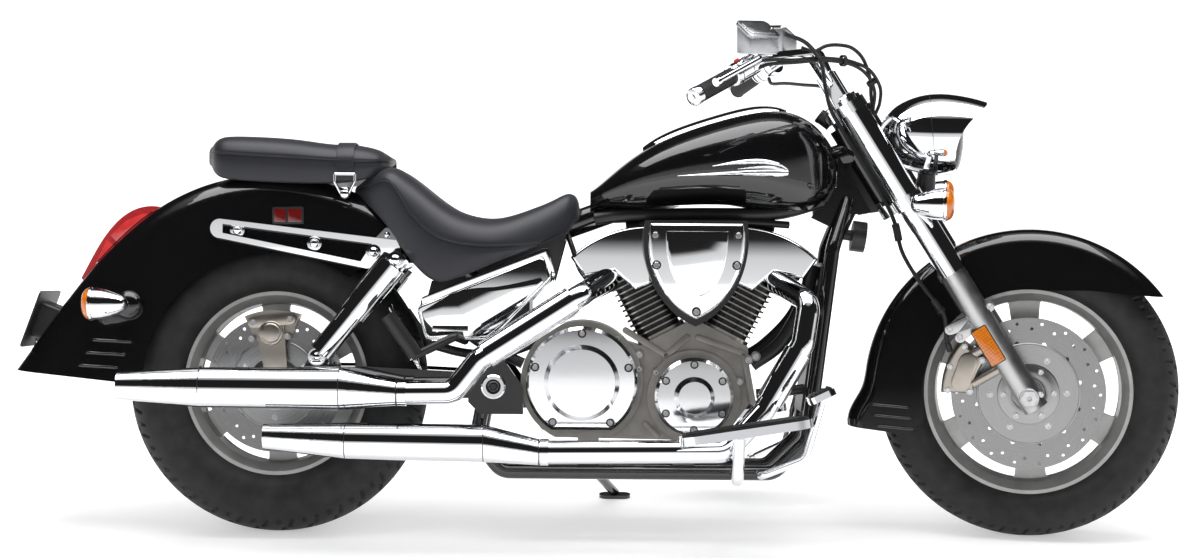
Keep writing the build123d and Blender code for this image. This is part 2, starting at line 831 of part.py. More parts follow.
# Rear suspension: swingarm with its shaft drive on the left, axle, shocks and brake
arm_inner = 96
arm_outer = 124
shock_top = (270, 604)
shock_foot = (102, 394)
shock_offset = 157
with BuildPart() as swingarm:
    with BuildSketch(side(arm_inner)):
        with BuildLine():
            Polyline(
                (-40, 300),
                (60, 303),
                (pivot_x - 34, pivot_z - 26),
                (pivot_x - 34, pivot_z + 30),
                (200, 372),
                (122, 372),
                (118, 410),
                (88, 410),
                (66, 366),
                (-40, 362),
                close=True,
            )
        make_face()
    extrude(amount=arm_outer - arm_inner)
    mirror(about=Plane.XZ)
    with BuildSketch(side(-arm_outer)):
        with Locations((pivot_x - 52, pivot_z)):
            Circle(24)
    extrude(amount=2 * arm_outer)
    with BuildSketch(side(-84)):
        with BuildLine():
            Polyline(
                (pivot_x - 60, pivot_z - 22),
                (pivot_x, pivot_z - 20),
                (pivot_x, pivot_z + 20),
                (pivot_x - 60, pivot_z + 22),
                close=True,
            )
        make_face()
        with Locations((pivot_x, pivot_z)):
            Circle(20)
    extrude(amount=168)
    with BuildSketch(side(-140)):
        with Locations((pivot_x, pivot_z)):
            Circle(pivot_radius)
    extrude(amount=280)
    for hand_start in (-142, 134):
        with BuildSketch(side(hand_start)):
            with Locations((pivot_x, pivot_z)):
                Circle(25)
        extrude(amount=8)
    for start in (-shock_offset - 18, 100):
        with BuildSketch(side(start)):
            with Locations(shock_foot):
                Circle(8)
        extrude(amount=shock_offset - 82)
    with BuildSketch(side(-150)):
        with Locations((rear_hub.X, rear_hub.Z)):
            Circle(axle_radius)
    extrude(amount=300, mode=Mode.SUBTRACT)
    add(frame_cradle_right.part, mode=Mode.SUBTRACT)
    add(frame_cradle_left.part, mode=Mode.SUBTRACT)
swingarm.part.label = "swingarm"

with BuildPart() as final_drive:
    with BuildSketch(side(-arm_outer)):
        with Locations((rear_hub.X, rear_hub.Z)):
            Circle(78)
    extrude(amount=-40)
    fillet(final_drive.edges().filter_by(GeomType.CIRCLE).sort_by(Axis.Y)[-1], 14)
    add(bar((0, arm_outer + 14, rear_hub.Z), (pivot_x - 70, arm_outer + 14, pivot_z + 6), 24, 13))
    with BuildSketch(side(-220)):
        with Locations((rear_hub.X, rear_hub.Z)):
            Circle(axle_radius + running_gap)
    extrude(amount=300, mode=Mode.SUBTRACT)
    add(swingarm.part, mode=Mode.SUBTRACT)
    add(frame_cradle_left.part, mode=Mode.SUBTRACT)
final_drive.part.label = "final_drive"

with BuildPart() as rear_axle:
    with BuildSketch(side(-176)):
        with Locations((rear_hub.X, rear_hub.Z)):
            Circle(axle_radius)
    extrude(amount=176 + 140)
    with BuildSketch(side(arm_outer)):
        with Locations((rear_hub.X, rear_hub.Z)):
            RegularPolygon(17, 6)
    extrude(amount=14)
    with BuildSketch(side(-arm_outer - 40)):
        with Locations((rear_hub.X, rear_hub.Z)):
            RegularPolygon(17, 6)
    extrude(amount=-14)
    for start, length in ((-arm_inner, arm_inner - rear_hub_half - 0.3), (rear_hub_half + 6.3, 17.7)):
        with BuildSketch(side(start)):
            with Locations((rear_hub.X, rear_hub.Z)):
                Circle(17)
        extrude(amount=length)
rear_axle.part.label = "rear_axle"

with BuildPart() as rear_shocks:
    foot = Vector(shock_foot[0], -shock_offset, shock_foot[1])
    top = Vector(shock_top[0], -shock_offset, shock_top[1])
    reach = (top - foot).normalized()
    add(bar(foot + reach * 12, foot + reach * 120, 26))
    add(bar(foot + reach * 120, top - reach * 12, 33))
    for eye in (foot, top):
        with BuildSketch(side(shock_offset - 15)):
            with Locations((eye.X, eye.Z)):
                Circle(19)
        extrude(amount=30)
    for eye in (foot, top):
        with BuildSketch(side(shock_offset - 18)):
            with Locations((eye.X, eye.Z)):
                Circle(8)
        extrude(amount=36, mode=Mode.SUBTRACT)
    mirror(about=Plane.XZ)
rear_shocks.part.label = "rear_shocks"

# The struts hold the fender and the shocks' tops, and join the cradle under the seat
with BuildPart() as fender_struts:
    with BuildSketch(side(rear_half)):
        with BuildLine():
            Polyline((-118, 650), (203, 586), (302, 598), (302, 644), (285, 646), (-118, 692), close=True)
        make_face()
        with Locations((-118, 671)):
            Circle(21)
        with BuildLine():
            Polyline((-112, 661), (190, 601), (215, 640), (-112, 681), close=True)
        make_face(mode=Mode.SUBTRACT)
    extrude(amount=16)
    with BuildSketch(side(rear_half)):
        with Locations((-82, 668), (87, 640)):
            Circle(9)
    extrude(amount=9, taper=15)
    with BuildSketch(side(rear_half)):
        with Locations(shock_top):
            Circle(16)
    extrude(amount=17.8)
    with BuildSketch(side(rear_half)):
        with Locations(shock_top):
            Circle(8)
    extrude(amount=shock_offset + 18 - rear_half)
    mirror(about=Plane.XZ)
    for neighbour in (frame_cradle_right, frame_cradle_left, side_covers, seat_rider):
        add(neighbour.part, mode=Mode.SUBTRACT)
    add(largest(fender_struts.part, 2), mode=Mode.REPLACE)
fender_struts.part.label = "fender_struts"

with BuildPart() as rear_caliper:
    with BuildSketch(side(56)):
        with BuildLine():
            outer = CenterArc((rear_hub.X, rear_hub.Z), 162, 70, 44)
            inner = CenterArc((rear_hub.X, rear_hub.Z), 104, 70, 44)
            Line(outer @ 0, inner @ 0)
            Line(outer @ 1, inner @ 1)
        make_face()
    extrude(amount=40)
    with BuildSketch(side(68)):
        with Locations((rear_hub.X, rear_hub.Z)):
            Circle(rear_disc_radius + 5)
    extrude(amount=14, mode=Mode.SUBTRACT)
    with BuildSketch(side(arm_inner)):
        with BuildLine():
            Polyline((-44, 470), (20, 482), (30, 362), (-20, 362), close=True)
        make_face()
    extrude(amount=12)
    add(swingarm.part, mode=Mode.SUBTRACT)
rear_caliper.part.label = "rear_caliper"

# Tail
with BuildPart() as tail_lamp:
    with BuildSketch(side(-46)):
        with BuildLine():
            back = Spline((-436, 560), (-382, 656), (-330, 707), (-256, 718))
            Polyline(back @ 1, (-262, 690), (-330, 640), (-420, 540), back @ 0)
        make_face()
    extrude(amount=92)
    add(rear_arch(0), mode=Mode.SUBTRACT)
tail_lamp.part.label = "tail_lamp"

indicator_offset = 176
with BuildPart() as rear_indicators:
    with BuildSketch(Plane(origin=(0, -indicator_offset, 505), x_dir=(1, 0, 0), z_dir=(0, -1, 0))):
        with BuildLine():
            nose = Spline((-308, 0), (-330, 24), (-386, 34.5), tangents=[(0, 1), (-1, 0)])
            lens = Spline(nose @ 1, (-400, 22), (-405, 0), tangents=[(-0.6, -0.4), (0, -1)])
            Line(lens @ 1, nose @ 0)
        make_face()
    revolve(axis=Axis((0, -indicator_offset, 505), (1, 0, 0)))
    add(bar((-345, -rear_half, 505), (-345, -indicator_offset + 10, 505), 12))
    mirror(about=Plane.XZ)
    add(rear_arch(0), mode=Mode.SUBTRACT)
rear_indicators.part.label = "rear_indicators"

plate_hole_spacing = 146
with BuildPart() as plate_bracket:
    with BuildSketch(Plane(origin=(-538, 0, 470), x_dir=(0, -1, 0), z_dir=(-0.94, 0, 0.34))):
        RectangleRounded(190, 130, 10)
        with Locations((0, 30)):
            with GridLocations(plate_hole_spacing, 0, 2, 1):
                Circle(3.5, mode=Mode.SUBTRACT)
    extrude(amount=-4)
    with BuildSketch(Plane(origin=(-538, 0, 470), x_dir=(0, -1, 0), z_dir=(-0.94, 0, 0.34)).offset(-4)):
        RectangleRounded(90, 80, 10)
    extrude(amount=-60)
    add(rear_arch(0), mode=Mode.SUBTRACT)
plate_bracket.part.label = "plate_bracket"

# Rider's controls on the frame
board_offset = 320
with BuildPart() as floorboards:
    board = Plane(origin=(1022, -board_offset, 249), x_dir=(0.988, 0, 0.155), z_dir=(-0.155, 0, 0.988))
    with BuildSketch(board):
        RectangleRounded(282, 110, 40)
    extrude(amount=9, both=True)
    add(bent_tube([(1010, -112, rail_z), (1010, -235, 138), (1010, -290, 236)], 22, 13))
    mirror(about=Plane.XZ)
    for neighbour in (frame_cradle_right, frame_cradle_left):
        add(neighbour.part, mode=Mode.SUBTRACT)
floorboards.part.label = "floorboards"

with BuildPart() as brake_pedal:
    add(bent_tube([(1060, -128, 145), (1060, -250, 150), (1150, -290, 190), (1184, -300, 316)], 26, 8))
    with BuildSketch(Plane(origin=(1184, -300, 318), x_dir=(0.9, 0, 0.43), z_dir=(-0.43, 0, 0.9))):
        RectangleRounded(60, 76, 14)
    extrude(amount=14)
    add(frame_cradle_right.part, mode=Mode.SUBTRACT)
brake_pedal.part.label = "brake_pedal"

with BuildPart() as shift_lever:
    add(bent_tube([(1060, 128, 145), (1060, 250, 150), (1150, 270, 190), (1184, 290, 316)], 26, 8))
    add(bar((1184, 250, 316), (1184, 330, 316), 11))
    add(frame_cradle_left.part, mode=Mode.SUBTRACT)
shift_lever.part.label = "shift_lever"

with BuildPart() as passenger_pegs:
    add(bent_tube([(420, -124, 430), (400, -180, 440), (310, -205, 396)], 14, 9))
    add(bar((318, -203, 400), (258, -212, 486), 17))
    mirror(about=Plane.XZ)
    for neighbour in (frame_cradle_right, frame_cradle_left, side_covers, swingarm):
        add(neighbour.part, mode=Mode.SUBTRACT)
passenger_pegs.part.label = "passenger_pegs"

# The side stand swings on a lug of the left rail; its foot lies flat on the floor of the leaning machine
floor_up = Vector(0, -sin(radians(lean)), cos(radians(lean)))
floor_drop = crown_radius(rear_tyre_width) * (1 - cos(radians(lean)))
stand_pivot = Vector(690, 154, 140)
stand_foot_x = 752
stand_foot_y = 322
stand_foot_z = (stand_foot_y * sin(radians(lean)) - floor_drop) / cos(radians(lean))
stand_foot = Vector(stand_foot_x, stand_foot_y, stand_foot_z)
stand_down = (stand_foot + floor_up * 10 - stand_pivot).normalized()
stand_up = Vector(-0.97, 0.17, 0.02).normalized()
stand_axis = stand_up.cross(stand_down).normalized()
stand_radius = 11
with BuildPart() as side_stand:
    with BuildSketch(Plane(origin=stand_pivot - stand_axis * stand_radius, z_dir=stand_axis)):
        Circle(20)
    extrude(amount=2 * stand_radius)
    add(bar(stand_pivot, stand_foot + floor_up * 12, stand_radius))
    with BuildSketch(Plane(origin=stand_foot, x_dir=(1, 0, 0), z_dir=floor_up)):
        SlotOverall(74, 38)
    extrude(amount=8)
    with BuildSketch(Plane(origin=stand_pivot - stand_axis * 20, z_dir=stand_axis)):
        Circle(8 + running_gap)
    extrude(amount=40, mode=Mode.SUBTRACT)
side_stand.part.label = "side_stand"

rail_near_pivot = Vector(stand_pivot.X - 14, rail_half_spacing, rail_z)
to_rail = rail_near_pivot - stand_pivot
to_rail = to_rail - stand_axis * to_rail.dot(stand_axis)
with BuildPart() as stand_lug:
    for height in (-stand_radius - 0.3 - 7, stand_radius + 0.3):
        with BuildSketch(Plane(origin=stand_pivot + stand_axis * height, x_dir=to_rail, z_dir=stand_axis)):
            with Locations(((to_rail.length - 16) / 2, 0)):
                SlotOverall(to_rail.length + 16, 32)
        extrude(amount=7)
    with BuildSketch(Plane(origin=stand_pivot - stand_axis * 20, z_dir=stand_axis)):
        Circle(8)
    extrude(amount=40)
    add(frame_cradle_left.part, mode=Mode.SUBTRACT)
stand_lug.part.label = "stand_lug"

# Front end: everything below turns with the fork
grip_height = upper_clamp + bar_rise
grip_inner = (grip_height, -165, 352)
grip_outer = (grip_height, -245, 462)
with BuildPart() as handlebar:
    left_half = [on_fork(upper_clamp + 82, -18, 66), on_fork(upper_clamp + 156, -14, 190)]
    left_half += [on_fork(grip_height, -100, 300)]
    left_half += [on_fork(*grip_inner), on_fork(*grip_outer)]
    right_half = [Vector(point.X, -point.Y, point.Z) for point in reversed(left_half)]
    add(bent_tube(right_half + left_half, 30, bar_radius))
handlebar.part.label = "handlebar"

with BuildPart() as fork_clamps:
    for height, thickness, hole in (
        (lower_clamp, clamp_thickness, fork_cover_radius),
        (upper_clamp, 24, 0),
    ):
        with BuildSketch(fork_plane(height)):
            RectangleRounded(70, 2 * (fork_half_spacing + 33), 32)
            with Locations((-fork_offset, 0)):
                Circle(32)
            if hole:
                with Locations((0, fork_half_spacing), (0, -fork_half_spacing)):
                    Circle(hole, mode=Mode.SUBTRACT)
        extrude(amount=thickness)
    with BuildSketch(fork_plane(lower_clamp)):
        with Locations((-fork_offset, 0)):
            Circle(stem_radius)
    extrude(amount=upper_clamp - lower_clamp)
    with BuildSketch(fork_plane(upper_clamp)):
        with Locations((-17, 56), (-17, -56)):
            RectangleRounded(42, 30, 8)
        with Locations((0, fork_half_spacing), (0, -fork_half_spacing)):
            Circle(21)
    extrude(amount=34)
    with BuildSketch(fork_plane(upper_clamp + 34)):
        with Locations((-17, 56), (-17, -56)):
            RectangleRounded(42, 30, 8)
    extrude(amount=68)
    add(handlebar.part, mode=Mode.SUBTRACT)
fork_clamps.part.label = "fork_clamps"

with BuildPart() as front_axle:
    with BuildSketch(side(-150)):
        with Locations((front_hub.X, front_hub.Z)):
            Circle(axle_radius)
    extrude(amount=300)
    for start in (-150, 144.2):
        with BuildSketch(side(start)):
            with Locations((front_hub.X, front_hub.Z)):
                RegularPolygon(18, 6)
        extrude(amount=5.8)
    for start, length in ((-88, 88 - front_hub_half - 0.3), (front_hub_half + disc_thickness + 0.3, 15.7)):
        with BuildSketch(side(start)):
            with Locations((front_hub.X, front_hub.Z)):
                Circle(17)
        extrude(amount=length)
    with BuildSketch(side(150)):
        with Locations((front_hub.X, front_hub.Z)):
            Circle(6)
    extrude(amount=-25, mode=Mode.SUBTRACT)
front_axle.part.label = "front_axle"

with BuildPart() as fork_sliders:
    with BuildSketch(fork_plane(-30)):
        with Locations((0, fork_half_spacing), (0, -fork_half_spacing)):
            Circle(fork_slider_radius)
    extrude(amount=slider_length + 30)
    with BuildSketch(side(-150)):
        with Locations((front_hub.X, front_hub.Z)):
            Circle(axle_radius)
    extrude(amount=300, mode=Mode.SUBTRACT)
fork_sliders.part.label = "fork_sliders"

with BuildPart() as fork_covers:
    with BuildSketch(fork_plane(slider_length)):
        with Locations((0, fork_half_spacing), (0, -fork_half_spacing)):
            Circle(fork_cover_radius)
    extrude(amount=upper_clamp - slider_length)
fork_covers.part.label = "fork_covers"

front_half = 84


def front_arch(inset):
    """The front fender's outer form, drawn in by inset for its hollow."""
    outer_radius = front_radius + 32 - inset
    inner_radius = front_rim_radius + 4 - 3 * inset
    with BuildPart() as arch:
        with BuildSketch(side(inset - front_half)):
            with BuildLine():
                crown = CenterArc((front_hub.X, front_hub.Z), outer_radius, 37, 133)
                tail = Spline(
                    crown @ 1,
                    (front_hub.X - (outer_radius + 6) * cos(radians(1)), front_hub.Z + 4),
                    (front_hub.X - outer_radius - 36, front_hub.Z - 80),
                    tangents=[crown % 1, (0.1, -1)],
                )
                lip = CenterArc((front_hub.X, front_hub.Z), inner_radius, 82, 94)
                foot = (front_hub.X - 269, front_hub.Z - 95 - 2 * inset)
                Polyline(tail @ 1, foot, (front_hub.X - 228, front_hub.Z - 67 - 2 * inset), lip @ 1)
                Polyline(lip @ 0, (front_hub.X + 132, front_hub.Z + 231 - 2 * inset), crown @ 0)
            make_face()
        extrude(amount=2 * (front_half - inset))
        rims = arch.faces().filter_by(GeomType.CYLINDER).sort_by(SortBy.AREA)[-1]
        fillet(rims.edges().filter_by(GeomType.CIRCLE), 34 - inset)
    return arch.part


with BuildPart() as front_fender:
    add(front_arch(0))
    add(front_arch(fender_sheet), mode=Mode.SUBTRACT)
    for hand in (-1, 1):
        with BuildSketch(side(-hand * front_half)):
            for row in range(3):
                with Locations((front_hub.X - 301 + 6 * row, front_hub.Z - 32 - 24 * row)):
                    SlotOverall(92, 8, rotation=-4)
        extrude(amount=-hand * 2.5, taper=20)
    for height in (slider_length - 78, slider_length - 26):
        for hand in (-1, 1):
            stay = on_fork(height, 0, hand * (front_half - 1))
            add(bar(stay, on_fork(height, 0, hand * fork_half_spacing), 13))
    add(fork_sliders.part, mode=Mode.SUBTRACT)
front_fender.part.label = "front_fender"

with BuildPart() as front_caliper:
    with BuildSketch(side(front_hub_half - 15)):
        with BuildLine():
            outer = CenterArc((front_hub.X, front_hub.Z), front_disc_radius + 22, 141, 38)
            inner = CenterArc((front_hub.X, front_hub.Z), front_disc_radius - 48, 141, 38)
            Line(outer @ 0, inner @ 0)
            Line(outer @ 1, inner @ 1)
        make_face()
    extrude(amount=54)
    fillet(front_caliper.faces().sort_by(Axis.Y)[0].edges(), 8)
    with BuildSketch(side(front_hub_half + 30)):
        with Locations((front_hub.X, front_hub.Z)):
            with PolarLocations(front_disc_radius - 18, 2, 151, 19, endpoint=True):
                Circle(19)
                Circle(13, mode=Mode.SUBTRACT)
    extrude(amount=13)
    with BuildSketch(side(front_hub_half - 4)):
        with Locations((front_hub.X, front_hub.Z)):
            Circle(front_disc_radius + 5)
    extrude(amount=14, mode=Mode.SUBTRACT)
    for height, reach in ((84, -90), (140, -74)):
        add(bar(on_fork(height, reach, -96), on_fork(height, -10, -fork_half_spacing + 4), 11))
    add(fork_sliders.part, mode=Mode.SUBTRACT)
front_caliper.part.label = "front_caliper"

with BuildPart() as grips:
    inner_end = on_fork(*grip_inner)
    outer_end = on_fork(*grip_outer)
    add(bar(inner_end, outer_end + (outer_end - inner_end).normalized() * 4, 17.5))
    mirror(about=Plane.XZ)
    add(handlebar.part, mode=Mode.SUBTRACT)
grips.part.label = "grips"

with BuildPart() as controls:
    add(bar(on_fork(grip_height, -118, 314), on_fork(*grip_inner), 23))
    lever_tip = on_fork(grip_height, -186, 496)
    add(bent_tube([on_fork(grip_height + 4, -115, 330), on_fork(grip_height, -96, 372), lever_tip], 14, 7))
    add(bar(on_fork(grip_height, -184, 492), on_fork(grip_height, -190, 500), 9))
    with BuildSketch(Plane(origin=on_fork(grip_height + 12, -100, 318), x_dir=(0.6, -0.75, 0))):
        RectangleRounded(84, 40, 8)
    extrude(amount=34)
    mirror(about=Plane.XZ)
    add(handlebar.part, mode=Mode.SUBTRACT)
    add(grips.part, mode=Mode.SUBTRACT)
controls.part.label = "controls"

lamp = on_fork(lower_clamp + 105, 119)
lamp_wall = 4
lamp_front = lamp_radius + 23
with BuildPart() as headlight:
    with BuildSketch(Plane(origin=lamp, x_dir=(1, 0, 0), z_dir=(0, -1, 0))):
        with BuildLine():
            shell = Spline((-123, 0), (-66, lamp_radius - 17), (0, lamp_radius), tangents=[(0, 1), (1, 0)])
            Polyline(
                shell @ 1,
                (lamp_front, lamp_radius),
                (lamp_front, lamp_radius - lamp_wall),
                (34, lamp_radius - lamp_wall),
                (46, 0),
                shell @ 0,
            )
        make_face()
    revolve(axis=Axis(lamp, (1, 0, 0)))
    with BuildSketch(Plane(origin=lamp + Vector(0, 200, 0), x_dir=(1, 0, 0), z_dir=(0, -1, 0))):
        with BuildLine():
            brow = Spline((lamp_front - 2, 67), (77, 30), (52, -15), (41, -lamp_radius - 9))
            Polyline(brow @ 1, (144, -lamp_radius - 9), (144, 105), (lamp_front - 2, 105), brow @ 0)
        make_face()
    extrude(amount=400, mode=Mode.SUBTRACT)
headlight.part.label = "headlight"

signal = on_fork(lower_clamp - 18, 42)
with BuildPart() as lamp_bracket:
    add(bar(on_fork(lower_clamp + 14, 30), lamp - Vector(20, 0, 95), 16))
    add(bar(signal + Vector(-16, 0, -12), signal + Vector(-16, 0, 75), 20))
    add(bar(signal + Vector(0, -150, 2), signal + Vector(0, 150, 2), 8))
    for neighbour in (fork_clamps, headlight):
        add(neighbour.part, mode=Mode.SUBTRACT)
lamp_bracket.part.label = "lamp_bracket"

front_indicator_offset = 172
with BuildPart() as front_indicators:
    pod = signal - Vector(0, front_indicator_offset, 0)
    with BuildSketch(Plane(origin=pod, x_dir=(1, 0, 0), z_dir=(0, -1, 0))):
        with BuildLine():
            nose = Spline((-48, 0), (-26, 24), (28, 34.5), tangents=[(0, 1), (1, 0)])
            lens = Spline(nose @ 1, (42, 22), (47, 0), tangents=[(0.6, -0.4), (0, -1)])
            Line(lens @ 1, nose @ 0)
        make_face()
    revolve(axis=Axis(pod, (1, 0, 0)))
    mirror(about=Plane.XZ)
    add(lamp_bracket.part, mode=Mode.SUBTRACT)
    add(fork_covers.part, mode=Mode.SUBTRACT)
front_indicators.part.label = "front_indicators"

# The brake hose runs from the right lever over the clamps and down behind the leg to its caliper
with BuildPart() as control_cables:
    hose_route = [
        on_fork(948, -70, -300),
        on_fork(984, -8, -256),
        on_fork(972, 58, -190),
        on_fork(906, 88, -126),
        on_fork(820, 78, -86),
        on_fork(730, 58, -72),
        on_fork(640, 24, -72),
        on_fork(560, 34, -72),
        on_fork(500, 62, -74),
        on_fork(462, 60, -76),
        on_fork(420, 28, -76),
        on_fork(384, -20, -76),
        on_fork(324, -56, -98),
        on_fork(256, -78, -106),
        on_fork(190, -92, -100),
        on_fork(150, -100, -92),
    ]
    add(hose("brake hose", hose_route, brake_hose_radius))
    throttle_route = [
        on_fork(930, -126, -322),
        on_fork(950, -62, -268),
        on_fork(946, 10, -206),
        on_fork(904, 62, -140),
        on_fork(838, 74, -76),
        on_fork(768, 66, -40),
        on_fork(712, 40, -32),
        on_fork(660, 8, -36),
        on_fork(600, -6, -37),
        on_fork(510, -14, -37),
    ]
    add(hose("throttle cable", throttle_route, throttle_cable_radius))
    for neighbour in (controls, front_caliper, fork_clamps, handlebar):
        add(neighbour.part, mode=Mode.SUBTRACT)
    add(largest(control_cables.part, 2), mode=Mode.REPLACE)
control_cables.part.label = "control_cables"

# Placement: the fork turns about the steering axis, then the machine leans and settles on both tyres
turned = (
    (fork_clamps, front_axle, fork_sliders, fork_covers, front_fender, front_caliper)
    + (handlebar, grips, controls, control_cables, headlight, lamp_bracket, front_indicators)
    + (front_tyre, front_rim, front_disc)
)
straight = (
    (frame_backbone, frame_cradle_right, frame_cradle_left, crankcase, cylinder_front, cylinder_rear)
    + (head_cover_front, head_cover_rear, clutch_cover, crank_cover, left_cover, air_cleaner)
    + (air_cover, radiator, horn, exhaust_upper, exhaust_lower, muffler_upper, muffler_lower)
    + (fuel_tank, tank_console, seat_rider, seat_pillion, rear_fender, side_covers, under_seat_box)
    + (swingarm, final_drive, rear_axle, rear_shocks, fender_struts, rear_caliper, tail_lamp)
    + (rear_indicators, plate_bracket, floorboards, brake_pedal, shift_lever, passenger_pegs)
    + (side_stand, stand_lug, rear_tyre, rear_rim, rear_disc)
)
steering_axis = Axis(steer_foot, up_fork)
leaning = Location((0, 0, 0), (-lean, 0, 0))


def wheel_low(centre, axle, radius, width):
    """The height of a leaning tyre's lowest point: its crown is an arc about a ring within the tyre."""
    round_over = crown_radius(width)
    return centre.Z - (radius - round_over) * sqrt(1 - axle.Z**2) - round_over


rear_axle_turn = Vector(0, 1, 0).rotate(Axis.X, -lean)
rear_low = wheel_low(rear_hub.rotate(Axis.X, -lean), rear_axle_turn, rear_radius, rear_tyre_width)
front_axle_turn = Vector(0, 1, 0).rotate(Axis((0, 0, 0), up_fork), -steer_rest).rotate(Axis.X, -lean)
front_centre = (front_hub - steer_foot).rotate(Axis((0, 0, 0), up_fork), -steer_rest) + steer_foot
front_low = wheel_low(front_centre.rotate(Axis.X, -lean), front_axle_turn, front_radius, front_tyre_width)
nose_down = degrees(asin((front_low - rear_low) / wheelbase))
settled = Location((0, 0, 0), (0, nose_down, 0)) * Location((0, 0, -rear_low)) * leaning

placed = [piece.part.moved(settled) for piece in straight]
placed += [piece.part.rotate(steering_axis, -steer_rest).moved(settled) for piece in turned]
span = Compound(children=[piece.moved(Location()) for piece in placed]).bounding_box()
to_middle = Location((-span.center().X, -span.center().Y, 0))

os.makedirs("parts", exist_ok=True)
for piece, source in zip(placed, straight + turned):
    export_step(piece.moved(to_middle), f"parts/{source.part.label}.step", write_pcurves=False)
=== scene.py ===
"""A cruiser motorcycle on its side stand: the finish of every surface, the seats, tyres, lamps and trim.

Everything is placed in the machine's own upright coordinates, in metres: x ahead of the rear axle, y to
the rider's left, z up from the ground line, and is carried from there to where the leaning machine stands.
"""

import json
import logging
import math
from dataclasses import dataclass, field
from enum import Enum
from typing import Callable, Dict, List, Optional, Sequence, Tuple

import bmesh
import bpy
from mathutils import Matrix, Vector
from mathutils.bvhtree import BVHTree


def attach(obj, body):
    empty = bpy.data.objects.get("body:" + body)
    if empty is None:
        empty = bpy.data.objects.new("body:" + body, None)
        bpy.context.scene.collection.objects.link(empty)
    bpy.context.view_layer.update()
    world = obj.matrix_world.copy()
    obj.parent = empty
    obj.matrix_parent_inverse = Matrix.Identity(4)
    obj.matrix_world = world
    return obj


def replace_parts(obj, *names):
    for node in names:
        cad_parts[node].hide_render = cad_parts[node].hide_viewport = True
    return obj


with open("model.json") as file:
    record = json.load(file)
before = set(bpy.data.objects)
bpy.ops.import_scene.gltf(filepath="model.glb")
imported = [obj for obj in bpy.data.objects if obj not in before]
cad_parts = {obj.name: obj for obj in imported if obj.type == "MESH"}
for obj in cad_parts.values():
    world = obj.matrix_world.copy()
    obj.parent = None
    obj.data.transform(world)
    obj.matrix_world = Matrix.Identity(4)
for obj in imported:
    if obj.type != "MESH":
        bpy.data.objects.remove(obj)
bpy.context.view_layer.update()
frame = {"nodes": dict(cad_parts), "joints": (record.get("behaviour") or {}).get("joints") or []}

log = logging.getLogger("motorcycle")

Point = Tuple[float, float, float]
Colour = Tuple[float, float, float]
RAKE = math.radians(32)
REAR_AXLE_HEIGHT = 0.331


def side_name(hand: int) -> str:
    """The name of a side: hand is 1 on the left and -1 on the right."""
    return "left" if hand > 0 else "right"


class Body(Enum):
    """The bodies that move apart from each other."""

    CHASSIS = "chassis"
    STEERING = "steering"
    FRONT_WHEEL = "front_wheel"
    REAR_WHEEL = "rear_wheel"
    SIDE_STAND = "side_stand"


@dataclass(frozen=True)
class Axes:
    """A right-handed set of axes with an origin, all in the frame's metres."""

    origin: Vector
    ahead: Vector
    left: Vector
    up: Vector

    def at(self, x: float, y: float, z: float) -> Vector:
        """The point x ahead, y to the left and z up."""
        return self.origin + self.ahead * x + self.left * y + self.up * z

    def moved(self, x: float, y: float, z: float) -> "Axes":
        """The same axes at another origin, given in them."""
        return Axes(self.at(x, y, z), self.ahead, self.left, self.up)


def joint(name: str) -> Tuple[Vector, Vector]:
    """The place and the unit axis of a joint.

    Args:
        name: the joint's name.

    Returns:
        Its position and its axis.
    """
    found = next(item for item in frame["joints"] if item["name"] == name)
    return Vector(found["pos_m"]), Vector(found["axis"]).normalized()


def upright_axes(hub: Vector, axle: Vector, steering: Vector, hub_height: float) -> Axes:
    """The machine's own axes from one wheel's axle and the steering axis.

    Args:
        hub: the wheel's centre.
        axle: the direction of the axle, to the left.
        steering: the direction of the steering axis, upward.
        hub_height: how far below the hub the origin lies.

    Returns:
        Axes with their origin under the hub.
    """
    across = axle.cross(steering)
    ahead = across * math.cos(RAKE) - steering * math.sin(RAKE)
    up = steering * math.cos(RAKE) + across * math.sin(RAKE)
    return Axes(hub - up * hub_height, ahead, axle, up)


def fork_axes(hub: Vector, axle: Vector, steering: Vector) -> Axes:
    """Axes along the fork legs: ahead of them, to the left and up them, from the front axle."""
    return Axes(hub, axle.cross(steering), axle, steering)


rear_hub, rear_axle = joint("rear_wheel_spin")
front_hub, front_axle = joint("front_wheel_spin")
steering_axis = joint("steering")[1]
machine = upright_axes(rear_hub, rear_axle, steering_axis, REAR_AXLE_HEIGHT)
fork = fork_axes(front_hub, front_axle, steering_axis)


